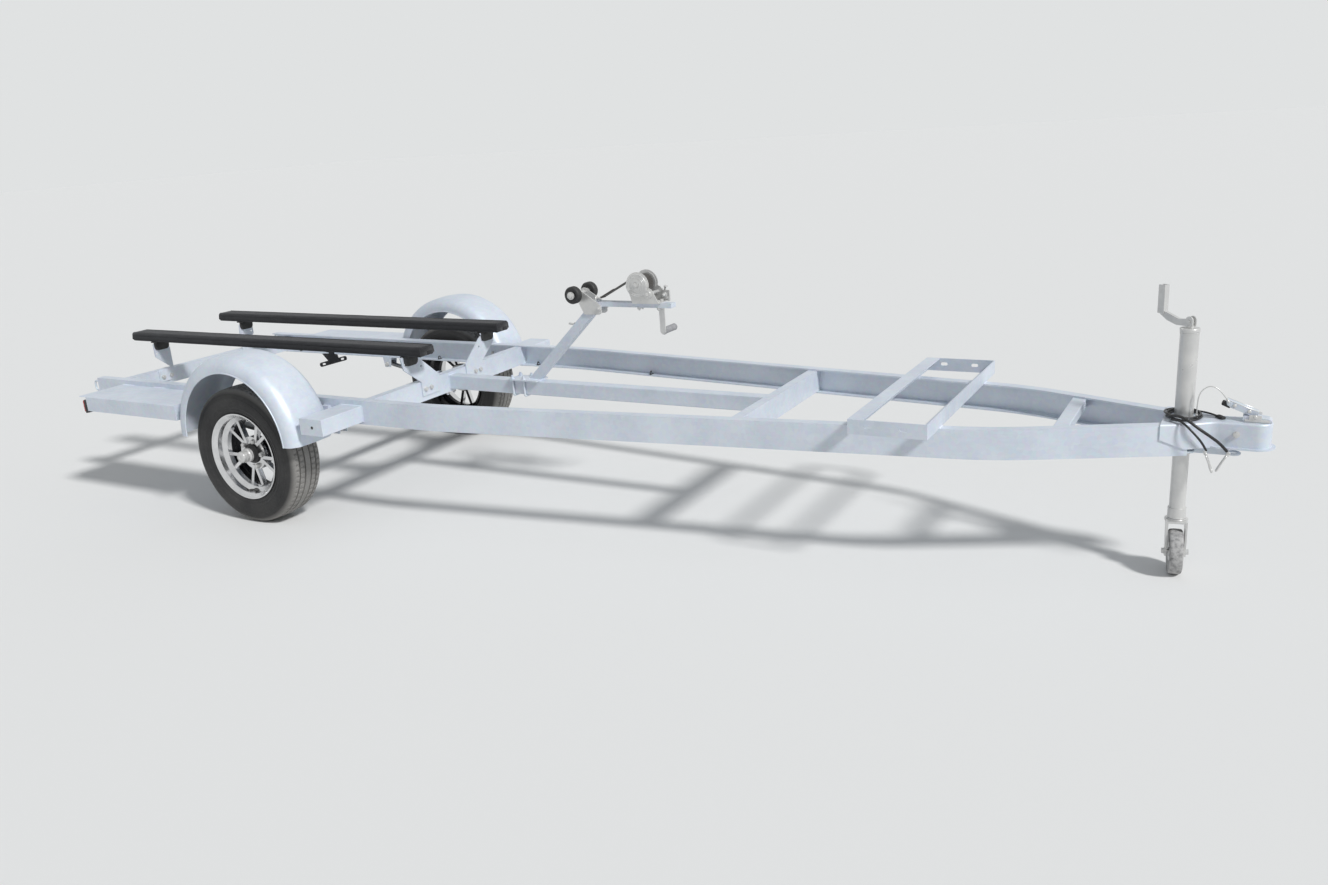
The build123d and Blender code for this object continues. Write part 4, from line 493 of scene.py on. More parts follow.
@dataclass
class Studio:
    """Floor, light and camera."""

    camera_place: Point = (2.5093, -3.7502, 1.5705)
    heading: float = 30.024
    pitch: float = 16.623
    roll: float = -3.949
    focal_pixels: float = 1085.98
    sensor: float = 36.0
    sight: float = 200.0
    floor_half: float = 60.0
    floor_z: float = -0.0005
    backdrop: Colour = (0.746, 0.760, 0.762)
    sky: Colour = (0.92, 0.96, 1.0)
    sky_strength: float = 0.38
    lamp_strength: float = 2.7
    lamp_softness: float = 8.0
    lamp_turn: tuple[float, float] = (14.0, 47.0)

    def set_up(self) -> None:
        """Build floor, light and camera."""
        self.lay_floor()
        self.light()
        self.aim_camera()

    def lay_floor(self) -> None:
        """Lay the floor at the wheels' foot."""
        bpy.ops.object.select_all(action="DESELECT")
        bpy.ops.mesh.primitive_plane_add(size=2 * self.floor_half, location=(0, 0, self.floor_z))
        floor = bpy.context.object
        floor.name = "floor"
        floor.data.materials.append(PaleFloor().build())

    def light(self) -> None:
        """Set a soft world, the plain backdrop that the camera sees, and one large soft key lamp."""
        world = bpy.data.worlds.new("studio")
        bpy.context.scene.world = world
        world.use_nodes = True
        nodes = world.node_tree.nodes
        links = world.node_tree.links
        sky = nodes["Background"]
        sky.inputs["Color"].default_value = (*self.sky, 1.0)
        sky.inputs["Strength"].default_value = self.sky_strength
        plain = nodes.new("ShaderNodeBackground")
        plain.inputs["Color"].default_value = (*self.backdrop, 1.0)
        plain.inputs["Strength"].default_value = 1.0
        path = nodes.new("ShaderNodeLightPath")
        seen = path.outputs["Is Camera Ray"]
        for ray in ("Is Glossy Ray", "Is Transmission Ray"):
            either = nodes.new("ShaderNodeMath")
            either.operation = "MAXIMUM"
            links.new(seen, either.inputs[0])
            links.new(path.outputs[ray], either.inputs[1])
            seen = either.outputs[0]
        shares = nodes.new("ShaderNodeMixShader")
        for source, socket in zip((seen, sky.outputs[0], plain.outputs[0]), shares.inputs):
            links.new(source, socket)
        links.new(shares.outputs[0], nodes["World Output"].inputs["Surface"])
        lamp = bpy.data.lights.new("key", "SUN")
        lamp.energy = self.lamp_strength
        lamp.angle = math.radians(self.lamp_softness)
        key = bpy.data.objects.new("key", lamp)
        about_x, about_y = self.lamp_turn
        key.rotation_euler = (math.radians(about_x), math.radians(about_y), 0.0)
        bpy.context.collection.objects.link(key)

    def aim_camera(self) -> None:
        """Place the camera at the photograph's angle."""
        lens = bpy.data.cameras.new("camera")
        lens.sensor_fit = "HORIZONTAL"
        lens.sensor_width = self.sensor
        lens.lens = self.sensor * self.focal_pixels / PHOTO_WIDTH
        lens.clip_end = self.sight
        camera = bpy.data.objects.new("camera", lens)
        turn = Matrix.Rotation(math.radians(self.heading), 4, "Z")
        tip = Matrix.Rotation(math.radians(90.0 - self.pitch), 4, "X")
        roll = Matrix.Rotation(math.radians(self.roll), 4, "Z")
        camera.matrix_world = Matrix.Translation(self.camera_place) @ turn @ tip @ roll
        bpy.context.collection.objects.link(camera)
        bpy.context.scene.camera = camera


def deselect() -> None:
    """Leave edit mode with nothing selected."""
    if bpy.context.mode != "OBJECT":
        bpy.ops.object.mode_set(mode="OBJECT")
    bpy.ops.object.select_all(action="DESELECT")


def heading_of(direction: Sequence[float]) -> tuple[float, float, float]:
    """The Euler angles that turn +Z to a direction."""
    return tuple(Vector(direction).to_track_quat("Z", "Y").to_euler())


def pick_faces(part: Thing, wanted: Callable[[Face], bool]) -> None:
    """Enter edit mode with only some of a part's faces selected.

    Args:
        part: The part, which is the active object.
        wanted: Whether a face is one of them.
    """
    bpy.ops.object.mode_set(mode="EDIT")
    bpy.ops.mesh.select_mode(type="FACE")
    bpy.ops.mesh.select_all(action="DESELECT")
    shape = bmesh.from_edit_mesh(part.data)
    for face in shape.faces:
        face.select_set(wanted(face))
    bmesh.update_edit_mesh(part.data)


def smooth_line(name: str, points: Sequence[Point], radius: float, steps: int,
                resolution: int) -> Thing:
    """Draw a round line along one smooth open spline.

    Args:
        name: The curve's name.
        points: The spline's control points.
        radius: The line's radius.
        steps: Steps in a quarter turn of its section.
        resolution: Points from one control point to the next.

    Returns:
        The curve's object.
    """
    line = bpy.data.curves.new(name, "CURVE")
    line.dimensions = "3D"
    run = line.splines.new("NURBS")
    run.points.add(len(points) - 1)
    for knot, point in zip(run.points, points):
        knot.co = (*point, 1.0)
    run.order_u = 3
    run.use_endpoint_u = True
    line.bevel_depth = radius
    line.bevel_resolution = steps
    line.resolution_u = resolution
    line.use_fill_caps = True
    curve = bpy.data.objects.new(name, line)
    bpy.context.collection.objects.link(curve)
    return curve


class Workpiece:
    """One new piece: parts modelled with operators, then joined, dressed and set on a body."""

    def __init__(self, name: str) -> None:
        """Start a piece.

        Args:
            name: The finished piece's name.
        """
        self.name = name
        self.parts: list[Thing] = []

    def take(self) -> Thing:
        """Keep the mesh that was just made, in object mode."""
        if bpy.context.mode != "OBJECT":
            bpy.ops.object.mode_set(mode="OBJECT")
        part = bpy.context.object
        self.parts.append(part)
        return part

    def bar(self, start: Sequence[float], end: Sequence[float], radius: float, sides: int = 24,
            rim: float = 0.0) -> Thing:
        """Add a round bar between two points, its ends' edges bevelled.

        Args:
            start: The middle of one end.
            end: The middle of the other.
            radius: The bar's radius.
            sides: Faces round it.
            rim: The bevel's width at both ends.

        Returns:
            The new part.
        """
        deselect()
        low, high = Vector(start), Vector(end)
        bpy.ops.mesh.primitive_cylinder_add(vertices=sides, radius=radius, depth=(high - low).length,
                                            location=(low + high) / 2, rotation=heading_of(high - low))
        if rim > 0:
            self.bevel_caps(bpy.context.object, rim)
        return self.take()

    @staticmethod
    def bevel_caps(part: Thing, width: float, segments: int = 2) -> None:
        """Bevel the edges of a part's end faces along its own Z.

        Args:
            part: The part, still on its own axes.
            width: The bevel's width.
            segments: Steps across it.
        """
        pick_faces(part, lambda face: abs(face.normal.z) > FACES_AXIS)
        bpy.ops.mesh.bevel(offset=width, segments=segments, affect="EDGES")
        bpy.ops.object.mode_set(mode="OBJECT")

    def block(self, low: Sequence[float], high: Sequence[float], rim: float, segments: int = 2,
              turn: Point = (0.0, 0.0, 0.0)) -> Thing:
        """Add a block between two corners with all its edges rounded.

        Args:
            low: The lowest corner.
            high: The highest corner.
            rim: The rounding's width.
            segments: Steps across the rounding.
            turn: The block's own turn in radians.

        Returns:
            The new part.
        """
        deselect()
        first, last = Vector(low), Vector(high)
        bpy.ops.mesh.primitive_cube_add(size=1.0, location=(first + last) / 2, rotation=turn)
        part = bpy.context.object
        part.scale = last - first
        bpy.ops.object.transform_apply(location=False, rotation=False, scale=True)
        bpy.ops.object.mode_set(mode="EDIT")
        bpy.ops.mesh.select_all(action="SELECT")
        bpy.ops.mesh.bevel(offset=rim, segments=segments, affect="EDGES")
        return self.take()

    def turned(self, profile: Sequence[tuple[float, float]], place: Sequence[float],
               direction: Sequence[float], sides: int = 48, closed: bool = False) -> Thing:
        """Add a turned form: a ring that is extruded and resized from one profile point to the next.

        Args:
            profile: Radii and heights along the axis, in order.
            place: Where the axis's zero is.
            direction: Where the axis points.
            sides: Faces round it.
            closed: Whether the last ring joins the first; otherwise both ends are capped.

        Returns:
            The new part.
        """
        deselect()
        (radius, height), rest = profile[0], profile[1:]
        bpy.ops.mesh.primitive_circle_add(vertices=sides, radius=radius, location=(0, 0, height),
                                          fill_type="NOTHING" if closed else "NGON")
        bpy.ops.object.transform_apply(location=True, rotation=False, scale=False)
        bpy.ops.object.mode_set(mode="EDIT")
        bpy.ops.mesh.select_mode(type="EDGE")
        bpy.ops.mesh.select_all(action="SELECT")
        extrude = bpy.ops.mesh.extrude_edges_move if closed else bpy.ops.mesh.extrude_region_move
        for next_radius, next_height in rest:
            extrude(TRANSFORM_OT_translate={"value": (0, 0, next_height - height)})
            share = next_radius / radius
            bpy.ops.transform.resize(value=(share, share, 1.0), center_override=(0, 0, next_height))
            radius, height = next_radius, next_height
        if closed:
            bpy.ops.mesh.select_all(action="DESELECT")
            bpy.ops.mesh.select_non_manifold()
            bpy.ops.mesh.bridge_edge_loops()
        bpy.ops.mesh.select_all(action="SELECT")
        bpy.ops.mesh.normals_make_consistent(inside=False)
        part = self.take()
        part.rotation_euler = heading_of(direction)
        part.location = Vector(place)
        return part

    def slab(self, middle: Vector, half: Vector, rim: float, turn: Point = (0.0, 0.0, 0.0)) -> None:
        """Add a block round a middle, its edges chamfered.

        Args:
            middle: The block's middle.
            half: Half its size along its own axes.
            rim: The chamfer's width.
            turn: The block's own turn in radians.
        """
        self.block(middle - half, middle + half, rim, 1, turn)

    def spring(self, section: Profile, first: float, pitch: float, count: int, place: Sequence[float],
               direction: Sequence[float], sides: int) -> None:
        """Add a coil spring as a stack of rings.

        Args:
            section: One ring's closed section.
            first: The height where the stack starts.
            pitch: The height from one ring to the next.
            count: The number of rings.
            place: Where the axis's zero is.
            direction: Where the axis points.
            sides: Faces round a ring.
        """
        for turn in range(count):
            start = first + turn * pitch
            ring = [(radius, start + height) for radius, height in section]
            self.turned(ring, place, direction, sides, closed=True)

    def rod(self, points: Sequence[Point], radius: float) -> None:
        """Add a bent rod along a smooth curve, made a mesh.

        Args:
            points: The curve's control points.
            radius: The rod's radius.
        """
        deselect()
        rod = smooth_line(self.name, points, radius, steps=3, resolution=6)
        rod.select_set(True)
        bpy.context.view_layer.objects.active = rod
        bpy.ops.object.convert(target="MESH")
        self.take()

    def move(self, place: Matrix) -> None:
        """Set all parts made so far at a place."""
        for part in self.parts:
            part.matrix_basis = place @ part.matrix_basis

    def copies(self, master: Thing, places: Iterable[Matrix]) -> None:
        """Set copies of a part at places, each with its own mesh; the part itself goes.

        Args:
            master: The part, on its own axes.
            places: Where the copies stand.
        """
        for place in places:
            twin = master.copy()
            twin.data = master.data.copy()
            twin.matrix_world = place @ master.matrix_basis
            bpy.context.collection.objects.link(twin)
            self.parts.append(twin)
        self.parts.remove(master)
        bpy.data.objects.remove(master)

    def hand_over(self, body: str, finish: Material, nodes: Sequence[str] = (),
                  smooth: float = 35.0) -> Thing:
        """Join the parts, put their place in the mesh, dress the piece and set it on its body.

        Args:
            body: The body that it rides.
            finish: Its material.
            nodes: CAD nodes that it stands for.
            smooth: Edges under this angle in degrees are smooth.

        Returns:
            The finished piece.
        """
        deselect()
        for part in self.parts:
            part.select_set(True)
        bpy.context.view_layer.objects.active = self.parts[0]
        if len(self.parts) > 1:
            bpy.ops.object.join()
        piece = bpy.context.object
        bpy.ops.object.transform_apply(location=True, rotation=True, scale=True)
        bpy.ops.object.mode_set(mode="EDIT")
        bpy.ops.mesh.select_all(action="SELECT")
        bpy.ops.mesh.remove_doubles(threshold=0.000004)
        bpy.ops.mesh.normals_make_consistent(inside=False)
        bpy.ops.object.mode_set(mode="OBJECT")
        bpy.ops.object.shade_smooth_by_angle(angle=math.radians(smooth))
        piece.name = self.name
        piece.data.name = self.name
        piece.data.materials.clear()
        piece.data.materials.append(finish)
        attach(piece, body)
        if nodes:
            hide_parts(*nodes)
        LOG.info("%s: %d faces on %s", self.name, len(piece.data.polygons), body)
        return piece


class Fixing(Enum):
    """Hex bolts and nuts, by thread size: across the flats, head height, washer radius."""

    M8 = (0.013, 0.0056, 0.0085)
    M10 = (0.017, 0.0068, 0.0105)
    M12 = (0.019, 0.0080, 0.0120)


Seat = tuple[Fixing, Sequence[float], Sequence[float], float]


def seats_at_both(size: Fixing, x: float, y: float, z: float, stub: float = 0.0) -> list[Seat]:
    """Seats that face outwards at both sides, at a distance from the middle plane."""
    return [(size, (x, side.value * y, z), side.outward, stub) for side in Side]


@dataclass
class BoltRow:
    """Hex heads with washers, all in one piece."""

    name: str
    body: str = "chassis"
    slot: str = "zinc_steel"
    washer: float = 0.0018
    sink: float = 0.0015
    stem_share: float = 0.29
    seat_share: float = 0.45
    dish_width_share: float = 0.06
    dish_depth_share: float = 0.03

    def build(self, finish: Material, seats: Sequence[Seat]) -> Thing:
        """Set one fastener at each seat.

        Args:
            finish: Their material.
            seats: Each fastener's size, its seat, the way it faces, and how far its thread stands out.

        Returns:
            The piece.
        """
        piece = Workpiece(self.name)
        for size, place, facing, stub in seats:
            self.fastener(piece, size, Vector(place), Vector(facing).normalized(), stub)
        return piece.hand_over(self.body, finish)

    def fastener(self, piece: Workpiece, size: Fixing, place: Vector, ahead: Vector, stub: float) -> None:
        """Add one hex head or nut with its washer.

        Args:
            piece: The piece that it joins.
            size: Its thread size.
            place: The middle of its seat.
            ahead: The way that it faces.
            stub: How far its thread stands out.
        """
        flats, height, washer_radius = size.value
        stem = flats * self.stem_share
        piece.turned([(stem, -self.sink), (washer_radius, -self.sink), (washer_radius, self.washer),
                      (flats * self.seat_share, self.washer)], place, ahead, 24)
        middle = place + ahead * (self.washer + height / 2)
        deselect()
        bpy.ops.mesh.primitive_cylinder_add(vertices=6, radius=flats / math.sqrt(3.0), depth=height,
                                            location=middle, rotation=heading_of(ahead))
        pick_faces(bpy.context.object, lambda face: face.normal.z > FACES_AXIS)
        bpy.ops.mesh.inset(thickness=flats * self.dish_width_share, depth=flats * self.dish_depth_share)
        piece.take()
        if stub > 0:
            foot = middle + ahead * (height / 2 - 0.001)
            piece.bar(foot, foot + ahead * stub, stem, 16, stem * 0.25)


@dataclass
class WeldBead:
    """A weld bead of overlapping scales along a line."""

    name: str
    radius: float = 0.0034
    pitch: float = 0.0036
    flatness: float = 0.62
    unevenness: float = 0.12
    scale_lean: float = 18.0
    body: str = "chassis"
    slot: str = "galvanised_steel"

    def build(self, finish: Material,
              runs: Sequence[tuple[Sequence[float], Sequence[float]]]) -> Thing:
        """Lay a bead along each run.

        Args:
            finish: The beads' material.
            runs: Each bead's two ends.

        Returns:
            The piece.
        """
        piece = Workpiece(self.name)
        deselect()
        bpy.ops.mesh.primitive_uv_sphere_add(segments=8, ring_count=5, radius=self.radius)
        bpy.context.object.scale = (1.0, 1.0, self.flatness)
        bpy.ops.object.transform_apply(location=False, rotation=False, scale=True)
        scale_mark = piece.take()
        places = []
        for start, end in runs:
            low, high = Vector(start), Vector(end)
            count = max(2, round((high - low).length / self.pitch))
            lean = (high - low).to_track_quat("Z", "Y").to_matrix().to_4x4()
            for step in range(count + 1):
                wobble = 1.0 + self.unevenness * math.sin(step * 2.4)
                places.append(Matrix.Translation(low.lerp(high, step / count)) @ lean
                              @ Matrix.Rotation(math.radians(self.scale_lean), 4, "X")
                              @ Matrix.Scale(wobble, 4))
        piece.copies(scale_mark, places)
        return piece.hand_over(self.body, finish, smooth=60.0)


@dataclass
class FreeCord:
    """A cord along a route of control points; its line is one smooth open spline."""

    name: str
    route: Sequence[Point]
    radius: float
    length: float
    far_end: str
    stiffness: str
    hang: str
    body: str = "chassis"
    slot: str = "cable_sheath"

    def lay(self, finish: Material, nodes: Sequence[str],
            with_pieces: Sequence[Thing] = ()) -> Thing:
        """Args:
            finish: Its sheath.
            nodes: The CAD nodes that it stands for.
            with_pieces: The pieces on it; not used.

        Returns:
            The cord's curve.
        """
        cord = smooth_line(self.name, self.route, self.radius, steps=4, resolution=8)
        cord.data.materials.append(finish)
        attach(cord, self.body)
        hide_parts(*nodes)
        LOG.info("%s: %d points, %.2f m", self.name, len(self.route), self.length)
        return cord


@dataclass
class Harness:
    """Wiring harness: out of its grommet, three loose turns round the jack's foot, then its plug."""

    radius: float = 0.003
    length: float = 1.30
    middle: Point = (at(3.578), 0.0, 0.0)
    deck: float = 0.5358
    widening: float = 0.014
    step: float = 22.5
    lead: tuple[Point, ...] = (
        (at(3.620), 0.0525, 0.5415),
        (at(3.638), 0.0470, 0.5410),
        (at(3.654), 0.0355, 0.5405),
        (at(3.6645), 0.0252, 0.5403),
        (at(3.6738), 0.0141, 0.5403),
    )
    turns: tuple[tuple[float, float, float], ...] = (
        (0.0, 0.0450, 0.5395),
        (135.0, 0.0462, 0.5396),
        (495.0, 0.0528, 0.5395),
        (620.0, 0.0560, 0.5396),
        (660.0, 0.0560, 0.5445),
        (720.0, 0.0508, 0.5462),
        (855.0, 0.0495, 0.5464),
        (960.0, 0.0502, 0.5466),
        (1020.0, 0.0540, 0.5520),
        (1060.0, 0.0578, 0.5512),
        (1100.0, 0.0592, 0.5470),
        (1150.0, 0.0596, 0.5430),
        (1192.5, 0.0598, 0.5418),
    )
    sway: float = 0.010
    sway_rate: float = 1.7
    grommet: Profile = (
        (0.0042, 0.0), (0.0085, 0.0), (0.0085, 0.0010), (0.0066, 0.0022), (0.0042, 0.0022),
    )
    plug_middle: Point = (at(3.684), 0.002, 0.5358)
    plug_yaw: float = -50.0
    plug_corners: tuple[Point, Point] = ((-0.0165, -0.0072, 0.0002), (0.0165, 0.0072, 0.0087))
    rib_count: int = 5
    rib_from: float = -0.0130
    rib_pitch: float = 0.0030
    rib_width: float = 0.0014
    socket_count: int = 4
    socket_from: float = -0.0051
    socket_pitch: float = 0.0034
    socket_radius: float = 0.0013

    def coil_point(self, travelled: float) -> Point:
        """A point of the coil after so many degrees of turning."""
        for (start, low, low_z), (end, high, high_z) in zip(self.turns, self.turns[1:]):
            if travelled <= end:
                share = (travelled - start) / (end - start)
                reach = low + (high - low) * share
                height = low_z + (high_z - low_z) * share
                break
        angle = math.radians(180.0 - travelled)
        sway = 1.0 + self.sway * math.sin(math.radians(travelled * self.sway_rate))
        return (self.middle[0] + reach * sway * math.cos(angle),
                (reach + self.widening) * sway * math.sin(angle), height)

    def route(self) -> list[Point]:
        """The whole route's control points."""
        start = self.coil_point(0.0)
        points: list[Point] = [(start[0], -0.010, self.deck + 0.0008),
                               (start[0], -0.006, self.deck + 0.0030)]
        travelled = 0.0
        while travelled < self.turns[-1][0] + 0.1:
            points.append(self.coil_point(travelled))
            travelled += self.step
        return points + list(self.lead)

    def build(self, sheath: Material, rubber: Material) -> None:
        """Build the harness with its grommet and plug.

        Args:
            sheath: The cord's finish.
            rubber: The grommet's and the plug's finish.
        """
        route = self.route()
        grommet = Workpiece("harness_grommet")
        grommet.turned(self.grommet, (route[0][0], route[0][1], self.deck - 0.0003), UP, 28, closed=True)
        grommet.hand_over("chassis", rubber)
        plug = self.plug(rubber)
        FreeCord("harness_cord", route, self.radius, self.length, "connector", "medium",
                 "coiled").lay(sheath, ["harness_coil", "harness_lead"], [plug])

    def plug(self, rubber: Material) -> Thing:
        """The flat four-way connector with its moulded grips and sockets."""
        piece = Workpiece("harness_connector")
        piece.block(*self.plug_corners, 0.0014)
        for rib in range(self.rib_count):
            x = self.rib_from + rib * self.rib_pitch
            piece.block((x, -0.0075, 0.0010), (x + self.rib_width, 0.0075, 0.0090), 0.0005, 1)
        for pin in range(self.socket_count):
            y = self.socket_from + pin * self.socket_pitch
            piece.bar((0.0160, y, 0.0045), (0.0170, y, 0.0045), self.socket_radius, 12, 0.0003)
        turn = Matrix.Rotation(math.radians(self.plug_yaw), 4, "Z")
        piece.move(Matrix.Translation(self.plug_middle) @ turn)
        return piece.hand_over("chassis", rubber, ["harness_plug"])


@dataclass
class SafetyCable:
    """A sheathed safety cable that hangs from the harness to its spring hook."""

    word: str
    radius: float
    length: float
    route: tuple[Point, ...]
    lean: float
    rod: float = 0.003
    hook_length: float = 0.058
    hook_width: float = 0.019
    ferrule: float = 0.014

    def build(self, sheath: Material, zinc: Material) -> None:
        """Build the cable and its hook.

        Args:
            sheath: The cable's finish.
            zinc: The hook's finish.
        """
        hook = self.hook(zinc)
        FreeCord(f"safety_cable_{self.word}_cord", self.route, self.radius, self.length, "fitting", "stiff",
                 "hanging").lay(sheath, [f"safety_cable_{self.word}"], [hook])

    def hook(self, zinc: Material) -> Thing:
        """The spring hook: a bent rod with its gate, eye and crimped ferrule."""
        piece = Workpiece(f"spring_hook_{self.word}")
        half, drop = self.hook_width / 2, self.hook_length
        bend = [(0, half * 0.55, 0.0005), (0, half, -0.004), (0, half, -drop * 0.35), (0, half, -drop * 0.75),
                (0, half, -drop + 0.002), (0, 0, -drop - 0.002), (0, -half, -drop + 0.002),
                (0, -half, -drop * 0.75), (0, -half * 0.9, -drop * 0.62)]
        piece.rod(bend, self.rod)
        piece.rod([(0, half * 0.55, 0.0005), (0, 0, 0.0012), (0, -half * 0.6, -0.001), (0, -half, -0.007),
                   (0, -half * 0.5, -0.014), (0, half * 0.4, -0.016), (0, half, -0.018)], self.rod * 0.86)
        piece.bar((0, -half * 0.94, -0.012), (0, -half * 0.9, -drop * 0.64), self.rod * 0.72, 16, 0.0004)
        reach = self.radius + 0.0017
        piece.turned([(reach * 0.8, 0.0005), (reach, 0.0015), (reach, 0.0045), (reach * 0.88, 0.0055),
                      (reach * 0.88, 0.0085), (reach, 0.0095), (reach, self.ferrule - 0.0005),
                      (reach * 0.8, self.ferrule + 0.0003)], (0, 0, 0), UP, 24)
        x, y, z = self.route[-1]
        piece.move(Matrix.Translation((x, y, z - self.ferrule))
                   @ Matrix.Rotation(math.radians(self.lean), 4, "Y"))
        return piece.hand_over("chassis", zinc, [f"safety_hook_{self.word}"], 50.0)


@dataclass
class LatchWire:
    """The stiff wire loop that keeps the latch's pin."""

    radius: float = 0.0018
    length: float = 0.205
    route: tuple[Point, ...] = (
        (at(3.617), -0.030, 0.5360),
        (at(3.615), -0.030, 0.598),
        (at(3.626), -0.029, 0.634),
        (at(3.652), -0.027, 0.650),
        (at(3.682), -0.024, 0.634),
        (at(3.706), -0.020, 0.594),
    )
    sleeve: Profile = (
        (0.0024, 0.0006), (0.0036, 0.0012), (0.0036, 0.0080), (0.0028, 0.0095),
        (0.0028, 0.0105), (0.0036, 0.0115), (0.0036, 0.0165), (0.0022, 0.0175),
    )

    def build(self, zinc: Material) -> None:
        """Build the wire with a crimped sleeve at each end."""
        sleeves = Workpiece("latch_wire_sleeves")
        for end, beside in ((self.route[0], self.route[1]), (self.route[-1], self.route[-2])):
            foot = Vector(end)
            sleeves.turned(self.sleeve, foot, (Vector(beside) - foot).normalized(), 20)
        crimps = sleeves.hand_over("chassis", zinc)
        FreeCord("latch_wire_loop", self.route, self.radius, self.length, "object", "stiff", "loose",
                 slot="zinc_steel").lay(zinc, ["latch_wire"], [crimps])


@dataclass
class TongueCords:
    """All cords at the tongue."""

    harness: Harness = field(default_factory=Harness)
    wire: LatchWire = field(default_factory=LatchWire)
    thick: SafetyCable = field(default_factory=lambda: SafetyCable("thick", 0.00475, 0.2345, (
        (at(3.540), -0.062, 0.550),
        (at(3.562), -0.083, 0.561),
        (at(3.594), -0.101, 0.553),
        (at(3.630), -0.106, 0.527),
        (at(3.664), -0.092, 0.500),
        (at(3.694), -0.076, 0.473),
        (at(3.712), -0.063, 0.447),
    ), 27.0))
    thin: SafetyCable = field(default_factory=lambda: SafetyCable("thin", 0.0035, 0.173, (
        (at(3.548), -0.066, 0.541),
        (at(3.566), -0.092, 0.549),
        (at(3.592), -0.113, 0.539),
        (at(3.620), -0.119, 0.512),
        (at(3.643), -0.112, 0.483),
        (at(3.655), -0.100, 0.456),
    ), -20.0))

    def build(self, made: Materials) -> None:
        """Lay them all."""
        self.harness.build(made["cable_sheath"], made["black_rubber"])
        self.thick.build(made["cable_sheath"], made["zinc_steel"])
        self.thin.build(made["cable_sheath"], made["zinc_steel"])
        self.wire.build(made["zinc_steel"])


